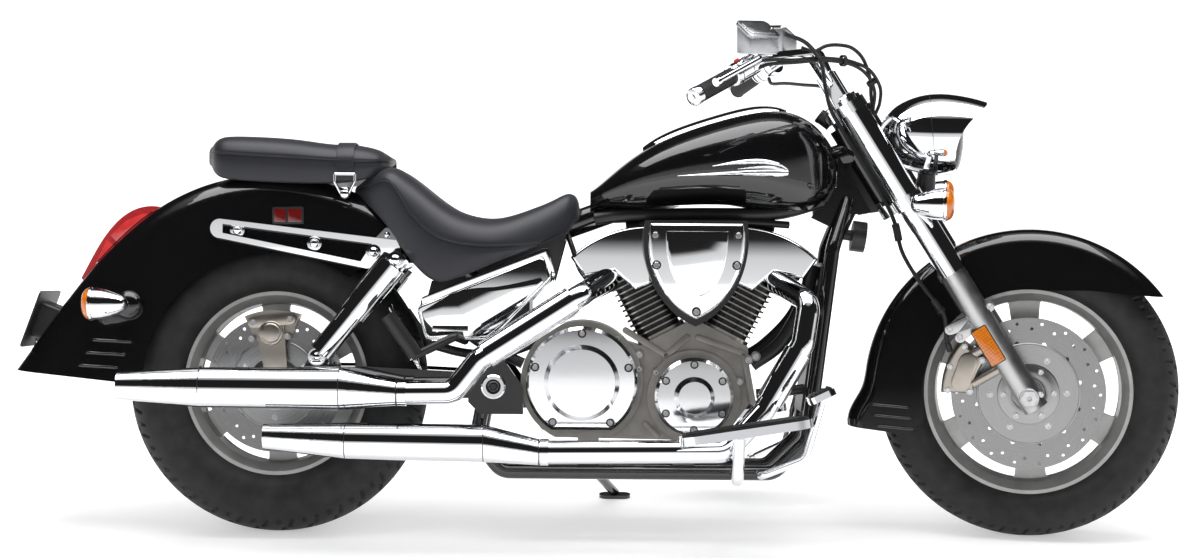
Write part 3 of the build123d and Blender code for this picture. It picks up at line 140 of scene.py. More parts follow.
class Nodes:
    """A material's node tree, built one node at a time."""

    def __init__(self, name: str) -> None:
        """Starts a material with one glossy surface shader."""
        self.material = bpy.data.materials.new(name)
        self.material.use_nodes = True
        self.tree = self.material.node_tree
        self.surface = self.tree.nodes["Principled BSDF"]
        self.place = self.add("ShaderNodeTexCoord").outputs["Object"]

    def add(
        self, kind: str, inputs: Optional[Dict[str, object]] = None, **settings: object
    ) -> bpy.types.Node:
        """Adds a node.

        Args:
            kind: the node's type.
            inputs: values or sockets for its inputs, by name or by number.
            settings: the node's own options.

        Returns:
            The new node.
        """
        node = self.tree.nodes.new(kind)
        for option, value in settings.items():
            setattr(node, option, value)
        for name, value in (inputs or {}).items():
            self.put(node.inputs[name], value)
        return node

    def put(self, socket: bpy.types.NodeSocket, value: object) -> None:
        """Links a socket to another, or sets its value."""
        if isinstance(value, bpy.types.NodeSocket):
            self.tree.links.new(value, socket)
        else:
            socket.default_value = value

    def set(self, **values: object) -> None:
        """Sets the surface shader's inputs; an underscore in a name stands for a space."""
        for name, value in values.items():
            self.put(self.surface.inputs[name.replace("_", " ")], value)

    def math(
        self, operation: str, first: object, second: object = 0.0, clamp: bool = False
    ) -> bpy.types.NodeSocket:
        """One step of arithmetic on numbers or sockets."""
        return self.add(
            "ShaderNodeMath", {0: first, 1: second}, operation=operation, use_clamp=clamp
        ).outputs[0]

    def noise(self, scale: float, detail: float = 3.0, vector: object = None) -> bpy.types.NodeSocket:
        """A cloudy pattern between 0 and 1, scale features to the metre."""
        inputs = {"Vector": vector or self.place, "Scale": scale, "Detail": detail}
        return self.add("ShaderNodeTexNoise", inputs).outputs["Fac"]

    def cells(self, scale: float, feature: str = "F1") -> bpy.types.NodeSocket:
        """The distance pattern of random cells, scale cells to the metre."""
        inputs = {"Vector": self.place, "Scale": scale}
        return self.add("ShaderNodeTexVoronoi", inputs, feature=feature).outputs["Distance"]

    def span(
        self, value: object, low: float, high: float, to_low: float, to_high: float
    ) -> bpy.types.NodeSocket:
        """A value's stretch from low to high, spread from to_low to to_high."""
        inputs = {"Value": value, "From Min": low, "From Max": high, "To Min": to_low, "To Max": to_high}
        return self.add("ShaderNodeMapRange", inputs).outputs["Result"]

    def blend(self, share: object, first: object, second: object) -> bpy.types.NodeSocket:
        """A mixture of two colours."""
        mix = self.add("ShaderNodeMix", {0: share}, data_type="RGBA")
        for socket, value in ((mix.inputs[6], first), (mix.inputs[7], second)):
            self.put(socket, (*value, 1.0) if isinstance(value, tuple) else value)
        return mix.outputs[2]

    def relief(
        self, height: object, depth: float, strength: float = 1.0, level: float = 0.0, curve: float = 0.0
    ) -> None:
        """Raises the surface by a height pattern, on a face that may be pressed into a shallow dome.

        Args:
            height: the pattern.
            depth: how deep it is, in metres.
            strength: how much of it shows.
            level: the height at which the dome stands upright.
            curve: how far the dome leans back for each metre above that level, in radians.
        """
        inputs = {"Height": height, "Distance": depth, "Strength": strength}
        if curve:
            arm = self.add(
                "ShaderNodeVectorMath", {0: self.place, 1: machine.at(0, 0, level)}, operation="SUBTRACT"
            )
            above = self.add(
                "ShaderNodeVectorMath", {0: arm.outputs[0], 1: machine.up}, operation="DOT_PRODUCT"
            )
            lean = self.math("MULTIPLY", above.outputs["Value"], curve)
            tilt = self.add("ShaderNodeVectorMath", {0: machine.up, "Scale": lean}, operation="SCALE")
            normal = self.add("ShaderNodeNewGeometry").outputs["Normal"]
            leaned = self.add("ShaderNodeVectorMath", {0: normal, 1: tilt.outputs[0]}, operation="ADD")
            inputs["Normal"] = self.add(
                "ShaderNodeVectorMath", {0: leaned.outputs[0]}, operation="NORMALIZE"
            ).outputs[0]
        bump = self.add("ShaderNodeBump", inputs)
        self.put(self.surface.inputs["Normal"], bump.outputs["Normal"])
        if curve:
            self.put(self.surface.inputs["Coat Normal"], bump.outputs["Normal"])


@dataclass(frozen=True)
class Finish:
    """What every finish has: a name, a colour and how rough it is."""

    name: str
    colour: Colour
    roughness: float = 0.4

    def build(self) -> bpy.types.Material:
        """Makes the material."""
        nodes = Nodes(self.name)
        nodes.set(Base_Color=(*self.colour, 1.0), Roughness=self.roughness)
        self.dress(nodes)
        return nodes.material

    def dress(self, nodes: Nodes) -> None:
        """Adds what this kind of finish has; the plain one has a fine grain."""
        nodes.relief(nodes.noise(900.0), 0.0001, 0.2)


@dataclass(frozen=True)
class GlossPaint(Finish):
    """Deep paint under clear lacquer, with the faint waviness of a sprayed surface.

    Args:
        level: the height from which a leaned face's normals rise.
        curve: how far they lean up for each metre above it, in radians; 0 leaves the face as it is.
    """

    level: float = 0.0
    curve: float = 0.0

    def dress(self, nodes: Nodes) -> None:
        """Adds the lacquer, its waviness and a trace of dust in its gloss."""
        nodes.set(Coat_Weight=1.0, Coat_Roughness=0.02, Coat_IOR=1.6, Specular_IOR_Level=0.15)
        nodes.put(nodes.surface.inputs["Roughness"], nodes.span(nodes.noise(40.0), 0.3, 0.7, 0.18, 0.26))
        nodes.relief(nodes.noise(260.0, 1.0), 0.00002, 0.25, self.level, self.curve)


@dataclass(frozen=True)
class Metal(Finish):
    """Bare or plated metal: polished, satin, cast or turned."""

    grain_scale: float = 30.0
    grain_depth: float = 0.00002
    spread: float = 0.02

    def dress(self, nodes: Nodes) -> None:
        """Adds a cloudy gloss and a fine grain."""
        nodes.set(Metallic=1.0)
        cloud = nodes.noise(self.grain_scale, 4.0)
        low = max(self.roughness - self.spread, 0.01)
        nodes.put(
            nodes.surface.inputs["Roughness"],
            nodes.span(cloud, 0.3, 0.7, low, self.roughness + self.spread)
        )
        nodes.relief(nodes.noise(self.grain_scale * 20, 2.0), self.grain_depth, 0.3)


@dataclass(frozen=True)
class DomedMetal(Metal):
    """Plated metal pressed into a shallow dome, which leans its reflections above and below a level."""

    level: float = 0.5
    curve: float = 0.9

    def dress(self, nodes: Nodes) -> None:
        """Adds the dome to the surface's normal, and a cloudy gloss."""
        nodes.set(Metallic=1.0)
        cloud = nodes.noise(self.grain_scale, 4.0)
        nodes.put(
            nodes.surface.inputs["Roughness"],
            nodes.span(cloud, 0.3, 0.7, self.roughness, self.roughness + self.spread)
        )
        nodes.relief(nodes.noise(self.grain_scale * 20, 2.0), self.grain_depth, 0.3, self.level, self.curve)


@dataclass(frozen=True)
class TurnedMetal(Metal):
    """Metal with the fine rings a lathe leaves, about the axle of a wheel."""

    axes: Axes = machine

    def dress(self, nodes: Nodes) -> None:
        """Adds rings about the axle to the gloss and the relief."""
        nodes.set(Metallic=1.0)
        centre, axle = self.axes.origin, self.axes.left
        arm = nodes.add(
            "ShaderNodeVectorMath", {0: nodes.place, 1: centre}, operation="SUBTRACT"
        ).outputs[0]
        square = nodes.add(
            "ShaderNodeVectorMath", {0: arm, 1: arm}, operation="DOT_PRODUCT"
        ).outputs["Value"]
        along = nodes.add(
            "ShaderNodeVectorMath", {0: arm, 1: axle}, operation="DOT_PRODUCT"
        ).outputs["Value"]
        radius = nodes.math("SQRT", nodes.math("SUBTRACT", square, nodes.math("MULTIPLY", along, along)))
        rings = nodes.add(
            "ShaderNodeTexNoise", {"W": radius, "Scale": 900.0, "Detail": 2.0}, noise_dimensions="1D"
        )
        rough = nodes.span(rings.outputs["Fac"], 0.3, 0.7, self.roughness - 0.07, self.roughness + 0.07)
        nodes.put(nodes.surface.inputs["Roughness"], rough)
        nodes.relief(rings.outputs["Fac"], 0.00006, 0.35)


@dataclass(frozen=True)
class CastPaint(Finish):
    """Painted castings with the skin of sand-cast metal."""

    metallic: float = 0.0

    def dress(self, nodes: Nodes) -> None:
        """Adds cloudy colour and a pebbled skin."""
        nodes.set(Metallic=self.metallic)
        darker = tuple(part * 0.82 for part in self.colour)
        nodes.set(
            Base_Color=nodes.blend(
                nodes.span(nodes.noise(25.0, 5.0), 0.35, 0.65, 0.0, 1.0), self.colour, darker
            )
        )
        nodes.relief(nodes.noise(1400.0, 4.0), 0.00012, 0.35)


@dataclass(frozen=True)
class Leather(Finish):
    """Smooth seat leather: fine pebbled grain, broad creases and a soft sheen."""

    def dress(self, nodes: Nodes) -> None:
        """Adds the grain, its gloss and slow changes of tone."""
        nodes.set(Sheen_Weight=0.08, Sheen_Roughness=0.5, Specular_IOR_Level=0.45)
        paler = tuple(part * 1.35 for part in self.colour)
        cloud = nodes.span(nodes.noise(9.0, 4.0), 0.3, 0.7, 0.0, 1.0)
        nodes.set(Base_Color=nodes.blend(cloud, self.colour, paler))
        pebbles = nodes.cells(520.0)
        creases = nodes.noise(60.0, 5.0)
        height = nodes.math(
            "ADD", nodes.math("MULTIPLY", pebbles, 0.7), nodes.math("MULTIPLY", creases, 1.6)
        )
        nodes.put(
            nodes.surface.inputs["Roughness"],
            nodes.span(pebbles, 0.0, 0.8, self.roughness + 0.08, self.roughness)
        )
        nodes.relief(height, 0.00025, 0.5)


@dataclass(frozen=True)
class Rubber(Finish):
    """Black rubber with a dusty, fine-grained skin."""

    def dress(self, nodes: Nodes) -> None:
        """Adds uneven tone and a fine grain."""
        paler = tuple(part * 1.6 + 0.004 for part in self.colour)
        nodes.set(
            Base_Color=nodes.blend(
                nodes.span(nodes.noise(30.0, 5.0), 0.35, 0.7, 0.0, 1.0), self.colour, paler
            )
        )
        nodes.set(Specular_IOR_Level=0.35)
        nodes.relief(nodes.noise(1200.0, 3.0), 0.00015, 0.4)


@dataclass(frozen=True)
class Lens(Finish):
    """Moulded lamp plastic with small prisms behind its smooth face."""

    prisms: float = 260.0

    def dress(self, nodes: Nodes) -> None:
        """Adds the prism pattern under a glossy face."""
        darker = tuple(part * 0.45 for part in self.colour)
        pattern = nodes.add(
            "ShaderNodeTexChecker", {
                "Vector": nodes.place, "Scale": self.prisms, "Color1": (1, 1, 1, 1), "Color2": (0, 0, 0, 1)
            }
        ).outputs["Fac"]
        share = nodes.math("MULTIPLY", pattern, nodes.span(nodes.noise(60.0), 0.3, 0.7, 0.15, 0.75))
        nodes.set(Base_Color=nodes.blend(share, self.colour, darker))
        nodes.set(Coat_Weight=1.0, Coat_Roughness=0.03, Coat_IOR=1.5, Specular_IOR_Level=0.6)
        nodes.relief(pattern, 0.0002, 0.25)


@dataclass(frozen=True)
class Glass(Finish):
    """Clear lamp glass, seen from outside as a dim mirror with light in it."""

    def dress(self, nodes: Nodes) -> None:
        """Adds clearness and the faint flutes of a lamp glass."""
        nodes.set(Transmission_Weight=1.0, IOR=1.45)
        flutes = nodes.add(
            "ShaderNodeTexWave", {"Vector": nodes.place, "Scale": 40.0, "Distortion": 0.0}
        ).outputs["Fac"]
        nodes.relief(flutes, 0.0004, 0.2)


@dataclass(frozen=True)
class Fins(Finish):
    """Black cylinder fins whose rims are machined bright.

    The rims are what lies near the outside of the barrel and the head, rounded boxes about the
    cylinder's axis, so the brightness follows the fins' own places.
    """

    hand: int = 1
    crank: Point = (0.920, 0.0, 0.311)
    tilt: float = 27.0
    head_height: float = 0.285
    barrel: Tuple[float, float] = (0.056, 0.076)
    head_shift: float = 0.026
    head_half: float = 0.066
    corner: float = 0.030
    rim: float = 0.0009

    def edge_distance(
        self, nodes: Nodes, across: object, side: object, half: Tuple[float, float]
    ) -> bpy.types.NodeSocket:
        """How far outside a rounded box a point lies; inside it is below zero."""
        excess = []
        for value, reach in ((across, half[0]), (side, half[1])):
            outer = nodes.math("SUBTRACT", nodes.math("ABSOLUTE", value), reach - self.corner)
            excess.append(nodes.math("MAXIMUM", outer, 0.0))
        squares = nodes.math(
            "ADD", nodes.math("POWER", excess[0], 2.0), nodes.math("POWER", excess[1], 2.0)
        )
        return nodes.math("SUBTRACT", nodes.math("SQRT", squares), self.corner)

    def dress(self, nodes: Nodes) -> None:
        """Adds the bright rims and a fine cast skin."""
        angle = math.radians(self.tilt) * self.hand
        up = machine.ahead * math.sin(angle) + machine.up * math.cos(angle)
        ahead = machine.ahead * math.cos(angle) - machine.up * math.sin(angle)
        arm = nodes.add(
            "ShaderNodeVectorMath", {0: nodes.place, 1: machine.at(*self.crank)}, operation="SUBTRACT"
        )
        along, across, side = (
            nodes.add(
                "ShaderNodeVectorMath", {0: arm.outputs[0], 1: axis}, operation="DOT_PRODUCT"
            ).outputs["Value"]
            for axis in (up, ahead, machine.left)
        )
        barrel = self.edge_distance(nodes, across, side, self.barrel)
        shifted = nodes.math("SUBTRACT", across, self.hand * self.head_shift)
        head = self.edge_distance(nodes, shifted, side, (self.head_half, self.barrel[1]))
        on_head = nodes.math("GREATER_THAN", along, self.head_height)
        distance = nodes.add("ShaderNodeMix", {0: on_head, 2: barrel, 3: head}).outputs[0]
        bright = nodes.math("GREATER_THAN", distance, -self.rim)
        nodes.set(Base_Color=nodes.blend(bright, self.colour, (0.36, 0.35, 0.33)))
        nodes.set(Metallic=bright, Roughness=nodes.span(bright, 0.0, 1.0, self.roughness, 0.3))
        nodes.relief(nodes.noise(1100.0, 3.0), 0.0001, 0.3)


BLACK = GlossPaint("black_paint", (0.004, 0.004, 0.0045))
FRONT_BLACK = GlossPaint("front_fender_black", (0.004, 0.004, 0.0045), level=-0.5, curve=0.165)
FENDER_BLACK = GlossPaint("fender_black", (0.004, 0.004, 0.0045), level=-0.5, curve=0.085)
FRAME_BLACK = GlossPaint("frame_black", (0.006, 0.006, 0.0065), 0.3)
SATIN_BLACK = CastPaint("satin_black", (0.012, 0.012, 0.012), 0.42)
CHROME = Metal("chrome", (0.86, 0.87, 0.89), 0.035, 14.0, 0.000006, 0.015)
HIGH_PANEL = DomedMetal("high_panel_chrome", (0.88, 0.89, 0.90), 0.05, 14.0, 0.000006, 0.02, 0.640, 1.0)
AIR_PANEL = DomedMetal("air_panel_chrome", (0.88, 0.89, 0.90), 0.07, 14.0, 0.000006, 0.02, 0.655, 0.75)
SIDE_PANEL = DomedMetal("side_panel_chrome", (0.88, 0.89, 0.90), 0.05, 14.0, 0.000006, 0.02, 0.560, 1.1)
STRUT_PANEL = DomedMetal("strut_chrome", (0.88, 0.89, 0.90), 0.05, 14.0, 0.000006, 0.02, 0.720, 1.0)
CLUTCH_PANEL = DomedMetal("clutch_chrome", (0.74, 0.745, 0.755), 0.09, 14.0, 0.000006, 0.03, 0.430, 0.8)
CRANK_PANEL = DomedMetal("crank_chrome", (0.74, 0.745, 0.755), 0.09, 14.0, 0.000006, 0.03, 0.375, 0.8)
SOFT_CHROME = Metal("soft_chrome", (0.82, 0.83, 0.84), 0.13, 20.0, 0.00001, 0.03)
ALUMINIUM = Metal("satin_aluminium", (0.50, 0.50, 0.50), 0.34, 40.0, 0.00006, 0.06)
ENGINE_GREY = CastPaint("engine_grey", (0.255, 0.243, 0.222), 0.40, metallic=0.4)
STEEL = Metal("steel", (0.55, 0.55, 0.56), 0.28, 60.0, 0.00004, 0.05)
LEATHER = Leather("seat_leather", (0.012, 0.0125, 0.0165), 0.40)
RUBBER = Rubber("tyre_rubber", (0.012, 0.012, 0.0125), 0.62)
GRIP_RUBBER = Rubber("grip_rubber", (0.010, 0.010, 0.010), 0.5)
RED_LENS = Lens("red_lens", (0.50, 0.008, 0.012), 0.12)
AMBER_LENS = Lens("amber_lens", (0.90, 0.22, 0.008), 0.12, prisms=420.0)
MARKER_RED = Lens("marker_red", (0.14, 0.004, 0.004), 0.15, prisms=300.0)
CLEAR_GLASS = Glass("clear_glass", (0.95, 0.97, 0.97), 0.02)
PALE_RED = Lens("pale_red", (0.80, 0.05, 0.05), 0.10, prisms=330.0)
AMBER_REFLECTOR = Lens("amber_reflector", (0.75, 0.20, 0.004), 0.15, prisms=240.0)
CALIPER = Metal("caliper_bronze", (0.40, 0.365, 0.325), 0.33, 50.0, 0.00006, 0.05)
RESERVOIR = Metal("reservoir_grey", (0.42, 0.43, 0.44), 0.30, 60.0, 0.00006, 0.05)
STOP_RED = Finish("stop_red", (0.62, 0.02, 0.02), 0.35)


class Palette:
    """Every finish's material, made once."""

    def __init__(self) -> None:
        """Starts with no materials."""
        self.made: Dict[str, bpy.types.Material] = {}

    def of(self, finish: Finish) -> bpy.types.Material:
        """The material of a finish."""
        if finish.name not in self.made:
            self.made[finish.name] = finish.build()
        return self.made[finish.name]


palette = Palette()
slot_of: Dict[str, str] = {
    finish.name: slot
    for slot, finishes in {
        "chrome": (
            CHROME, SOFT_CHROME, HIGH_PANEL, AIR_PANEL, SIDE_PANEL, STRUT_PANEL, CLUTCH_PANEL, CRANK_PANEL,
            CLEAR_GLASS,
        ),
        "black_paint": (BLACK, FENDER_BLACK, FRONT_BLACK),
        "frame_black": (FRAME_BLACK, SATIN_BLACK),
        "satin_aluminium": (ALUMINIUM, CALIPER, RESERVOIR),
        "engine_grey": (ENGINE_GREY,),
        "disc_steel": (STEEL,),
        "seat_leather": (LEATHER,),
        "tyre": (RUBBER,),
        "grip_rubber": (GRIP_RUBBER,),
        "lens_red": (RED_LENS, AMBER_LENS, MARKER_RED, PALE_RED, AMBER_REFLECTOR, STOP_RED),
    }.items()
    for finish in finishes
}


@dataclass
class Mesh:
    """A mesh being drawn in one set of axes, in metres."""

    axes: Axes
    verts: List[Vector] = field(default_factory=list)
    faces: List[Tuple[int, ...]] = field(default_factory=list)

    def ring(self, points: Sequence[Vector]) -> List[int]:
        """Adds points given in the axes and returns their numbers."""
        first = len(self.verts)
        self.verts += [self.axes.at(*point) for point in points]
        return list(range(first, first + len(points)))

    def skin(self, rings: Sequence[Sequence[int]], closed: bool = True) -> None:
        """Joins rings of equal length by four-sided faces."""
        for low, high in zip(rings, rings[1:]):
            count = len(low)
            for index in range(count if closed else count - 1):
                after = (index + 1) % count
                self.faces.append((low[index], low[after], high[after], high[index]))

    def cap(self, ring: Sequence[int], flip: bool = False) -> None:
        """Closes a ring with one face."""
        self.faces.append(tuple(reversed(ring)) if flip else tuple(ring))

    def tube(self, points: Sequence[Vector], radius: float, sides: int = 12) -> None:
        """Adds a round tube along points, closed at both ends."""
        rings = []
        normal = None
        for index, point in enumerate(points):
            before = points[max(index - 1, 0)]
            after = points[min(index + 1, len(points) - 1)]
            heading = (Vector(after) - Vector(before)).normalized()
            if normal is None:
                normal = heading.orthogonal().normalized()
            normal = (normal - heading * normal.dot(heading)).normalized()
            other = heading.cross(normal)
            angles = [2 * math.pi * step / sides for step in range(sides)]
            rings.append(self.ring([
                Vector(point) + (
                    normal * math.cos(angle) + other * math.sin(angle)
                ) * radius for angle in angles
            ]))
        self.skin(rings)
        self.cap(rings[0], flip=True)
        self.cap(rings[-1])

    def lathe(self, start: Vector, axis: Vector, profile: Sequence[Tuple[float, float]], sides: int = 48,
              closed: bool = False) -> None:
        """Turns a profile about an axis.

        Args:
            start: where the axis starts.
            axis: its direction.
            profile: pairs of a distance along the axis and a radius; a radius of 0 closes the end.
            sides: how many steps make the round.
            closed: joins the profile's end to its start, for a ring, and leaves out the end faces.
        """
        axis = Vector(axis).normalized()
        normal = axis.orthogonal().normalized()
        other = axis.cross(normal)
        rings = []
        for along, radius in profile:
            middle = Vector(start) + axis * along
            reach = max(radius, 0.00001)
            angles = [2 * math.pi * step / sides for step in range(sides)]
            rings.append(self.ring([
                middle + (normal * math.cos(angle) + other * math.sin(angle)) * reach for angle in angles
            ]))
        if closed:
            self.skin(rings + [rings[0]])
            return
        self.skin(rings)
        self.cap(rings[0], flip=True)
        self.cap(rings[-1])

    def slab(self, outline: Sequence[Tuple[float, float]], low: float, high: float,
             put: Callable[[float, float, float], Vector]) -> None:
        """Adds an outline's prism; put turns (u, v, height) into a point of the axes."""
        bottom = self.ring([put(u, v, low) for u, v in outline])
        top = self.ring([put(u, v, high) for u, v in outline])
        self.skin([bottom, top])
        self.cap(bottom, flip=True)
        self.cap(top)

    def make(self, name: str, finish: Finish, body: Body, bevel: float = 0.0, subdivide: int = 0,
             sharp: float = 35.0) -> bpy.types.Object:
        """Makes the piece, rides it on its body and gives it its finish.

        Args:
            name: the piece's name.
            finish: its finish.
            body: what it moves with.
            bevel: the width of its rounded edges.
            subdivide: levels of smooth subdivision.
            sharp: the angle between faces over which an edge stays sharp, in degrees.

        Returns:
            The new object.
        """
        mesh = bpy.data.meshes.new(name)
        mesh.from_pydata(self.verts, [], self.faces)
        work = bmesh.new()
        work.from_mesh(mesh)
        bmesh.ops.recalc_face_normals(work, faces=work.faces)
        work.to_mesh(mesh)
        work.free()
        piece = bpy.data.objects.new(name, mesh)
        bpy.context.scene.collection.objects.link(piece)
        if bevel:
            edge = piece.modifiers.new("edge", "BEVEL")
            edge.width, edge.segments, edge.limit_method = bevel, 2, "ANGLE"
            edge.angle_limit = math.radians(40)
        if subdivide:
            smooth = piece.modifiers.new("smooth", "SUBSURF")
            smooth.levels = smooth.render_levels = subdivide
        if bevel or subdivide:
            graph = bpy.context.evaluated_depsgraph_get()
            done = bpy.data.meshes.new_from_object(piece.evaluated_get(graph))
            piece.modifiers.clear()
            piece.data = done
            done.name = name
        piece.data.shade_smooth()
        piece.data.set_sharp_from_angle(angle=math.radians(sharp))
        piece.data.materials.clear()
        piece.data.materials.append(palette.of(finish))
        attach(piece, body.value)
        log.info("%s: %d faces on %s", name, len(piece.data.polygons), body.value)
        return piece


@dataclass
class Bodywork:
    """The finish of the parts that come from the frame as they are."""

    finishes: Dict[Finish, str] = field(default_factory=lambda: {
        BLACK: "fuel_tank",
        FENDER_BLACK: "rear_fender",
        FRONT_BLACK: "front_fender",
        FRAME_BLACK: "frame_backbone frame_cradle_right frame_cradle_left swingarm stand_lug side_stand",
        SATIN_BLACK: "under_seat_box air_cleaner radiator horn lamp_bracket control_cables passenger_pegs "
                     "plate_bracket",
        CHROME: "exhaust_upper exhaust_lower muffler_upper muffler_lower tank_console rear_shocks "
                "rear_indicators fork_covers handlebar headlight front_indicators final_drive floorboards "
                "brake_pedal shift_lever controls",
        SOFT_CHROME: "fork_clamps",
        HIGH_PANEL: "air_cover head_cover_front head_cover_rear",
        SIDE_PANEL: "side_covers",
        STRUT_PANEL: "fender_struts",
        CLUTCH_PANEL: "clutch_cover left_cover",
        CRANK_PANEL: "crank_cover",
        ALUMINIUM: "fork_sliders",
        CALIPER: "front_caliper rear_caliper",
        ENGINE_GREY: "crankcase",
        STEEL: "front_axle rear_axle",
        GRIP_RUBBER: "grips",
        RUBBER: "front_tyre rear_tyre",
        LEATHER: "seat_rider seat_pillion",
        RED_LENS: "tail_lamp",
    })

    def build(self) -> None:
        """Gives every part of the frame its material."""
        for finish, names in self.finishes.items():
            for name in names.split():
                self.dress(name, finish)
        for hand, name in ((1, "cylinder_front"), (-1, "cylinder_rear")):
            self.dress(name, Fins(f"fins_{name}", (0.010, 0.010, 0.010), 0.45, hand=hand))
        for axes, end in ((fork, "front"), (machine.moved(0, 0, REAR_AXLE_HEIGHT), "rear")):
            self.dress(f"{end}_disc", TurnedMetal(f"{end}_disc_steel", (0.27, 0.27, 0.27), 0.30, axes=axes))
            self.dress(f"{end}_rim", CastPaint(f"{end}_cast", (0.45, 0.45, 0.44), 0.40, metallic=0.6))

    @staticmethod
    def dress(name: str, finish: Finish) -> None:
        """Gives one part a finish in all its material slots."""
        if name not in frame["nodes"]:
            log.info("%s is not in the frame", name)
            return
        part = frame["nodes"][name]
        part.data.materials.clear()
        part.data.materials.append(palette.of(finish))


@dataclass
class Studio:
    """The pale floor, the soft lamps and the camera."""

    eye: Point = (0.713, -5.2, 0.567)
    roll: float = 0.00804
    view_width: float = 2.682
    floor_radius: float = 60.0
    floor_white: float = 0.80
    near_glow: float = 0.42
    fade: Tuple[float, float] = (1.0, 3.4)

    def build(self) -> None:
        """Makes the floor, the lamps, the world and the camera."""
        self.floor()
        self.lamps()
        self.world()
        self.camera()

    def camera(self) -> None:
        """Puts the camera square to the machine's middle plane, as the photograph was taken."""
        data = bpy.data.cameras.new("camera")
        data.sensor_width = 36.0
        data.lens = data.sensor_width * -self.eye[1] / self.view_width
        data.clip_end = 60.0
        camera = bpy.data.objects.new("camera", data)
        bpy.context.scene.collection.objects.link(camera)
        right = (machine.ahead + machine.up * self.roll).normalized()
        up = (machine.up - machine.ahead * self.roll).normalized()
        turn = Matrix((right, up, right.cross(up))).transposed().to_4x4()
        camera.matrix_world = Matrix.Translation(machine.at(*self.eye)) @ turn
        bpy.context.scene.camera = camera

    def floor(self) -> None:
        """Makes the floor, which the camera and the reflections see nearly white."""
        work = bmesh.new()
        bmesh.ops.create_circle(work, cap_ends=True, segments=96, radius=self.floor_radius)
        mesh = bpy.data.meshes.new("floor")
        work.to_mesh(mesh)
        work.free()
        floor = bpy.data.objects.new("floor", mesh)
        bpy.context.scene.collection.objects.link(floor)
        nodes = Nodes("floor")
        nodes.set(Base_Color=(self.floor_white, self.floor_white, self.floor_white, 1.0), Roughness=0.9)
        nodes.set(Specular_IOR_Level=0.1, Emission_Color=(1.0, 1.0, 1.0, 1.0))
        arm = nodes.add("ShaderNodeVectorMath", {0: nodes.place}, operation="LENGTH").outputs["Value"]
        fade = nodes.span(arm, self.fade[0], self.fade[1], self.near_glow, 1.0)
        path = nodes.add("ShaderNodeLightPath").outputs
        seen = nodes.math("ADD", path["Is Camera Ray"], path["Is Glossy Ray"])
        seen = nodes.math("ADD", seen, path["Is Transmission Ray"], clamp=True)
        nodes.set(Emission_Strength=nodes.math("MULTIPLY", seen, fade))
        mesh.materials.append(nodes.material)

    def lamps(self) -> None:
        """Hangs one wide soft lamp overhead and two beside the machine that metal does not show."""
        for name, place, size, power, mirrored in (
            ("overhead", (0.0, -0.3, 3.3), (4.4, 2.2), 120.0, True),
            ("near_side", (-0.6, -4.6, 2.2), (4.2, 1.6), 60.0, False),
            ("far_side", (0.4, 4.4, 2.2), (4.2, 1.6), 45.0, False),
        ):
            data = bpy.data.lights.new(name, "AREA")
            data.shape, data.size, data.size_y, data.energy = "RECTANGLE", size[0], size[1], power
            lamp = bpy.data.objects.new(name, data)
            bpy.context.scene.collection.objects.link(lamp)
            lamp.location = place
            lamp.visible_glossy = mirrored
            lamp.rotation_euler = (Vector((0, 0, 0.5)) - Vector(place)).to_track_quat("-Z", "Y").to_euler()

    def world(self) -> None:
        """Makes a white surround with the dark band above the horizon that metal shows."""
        world = bpy.data.worlds.new("studio")
        world.use_nodes = True
        bpy.context.scene.world = world
        tree = world.node_tree
        back = tree.nodes["Background"]
        place = tree.nodes.new("ShaderNodeTexCoord")
        split = tree.nodes.new("ShaderNodeSeparateXYZ")
        tree.links.new(place.outputs["Generated"], split.inputs[0])
        ramp = tree.nodes.new("ShaderNodeValToRGB")
        stops = (
            (0.0, 0.85), (0.12, 0.7), (0.17, 0.25), (0.20, 0.015), (0.78, 0.012), (0.88, 0.6), (1.0, 0.9)
        )
        elements = ramp.color_ramp.elements
        for place_on_ramp, value in stops[1:-1]:
            elements.new(place_on_ramp)
        for element, (place_on_ramp, value) in zip(elements, stops):
            element.position = place_on_ramp
            element.color = (value, value, value * 1.01, 1.0)
        tree.links.new(split.outputs["Z"], ramp.inputs["Fac"])
        path = tree.nodes.new("ShaderNodeLightPath")
        mix = tree.nodes.new("ShaderNodeMix")
        mix.data_type = "RGBA"
        tree.links.new(path.outputs["Is Glossy Ray"], mix.inputs[0])
        mix.inputs[6].default_value = (0.42, 0.42, 0.43, 1.0)
        tree.links.new(ramp.outputs["Color"], mix.inputs[7])
        white = tree.nodes.new("ShaderNodeMix")
        white.data_type = "RGBA"
        tree.links.new(path.outputs["Is Camera Ray"], white.inputs[0])
        tree.links.new(mix.outputs[2], white.inputs[6])
        white.inputs[7].default_value = (1.0, 1.0, 1.0, 1.0)
        tree.links.new(white.outputs[2], back.inputs["Color"])


class Skin:
    """The surface of a frame part, for trim to lie on."""

    def __init__(self, name: str) -> None:
        """Reads the part's mesh."""
        work = bmesh.new()
        work.from_mesh(frame["nodes"][name].data)
        self.tree = BVHTree.FromBMesh(work)
        work.free()

    def hit(self, start: Vector, heading: Vector) -> Optional[Tuple[Vector, Vector]]:
        """Where a straight line first meets the surface.

        Args:
            start: the line's start, in the frame.
            heading: its direction.

        Returns:
            The place and the outward normal, or None where it misses.
        """
        place, normal, _, _ = self.tree.ray_cast(start, heading)
        if place is None:
            return None
        return place, -normal if normal.dot(heading) > 0 else normal


Row = Tuple[float, ...]


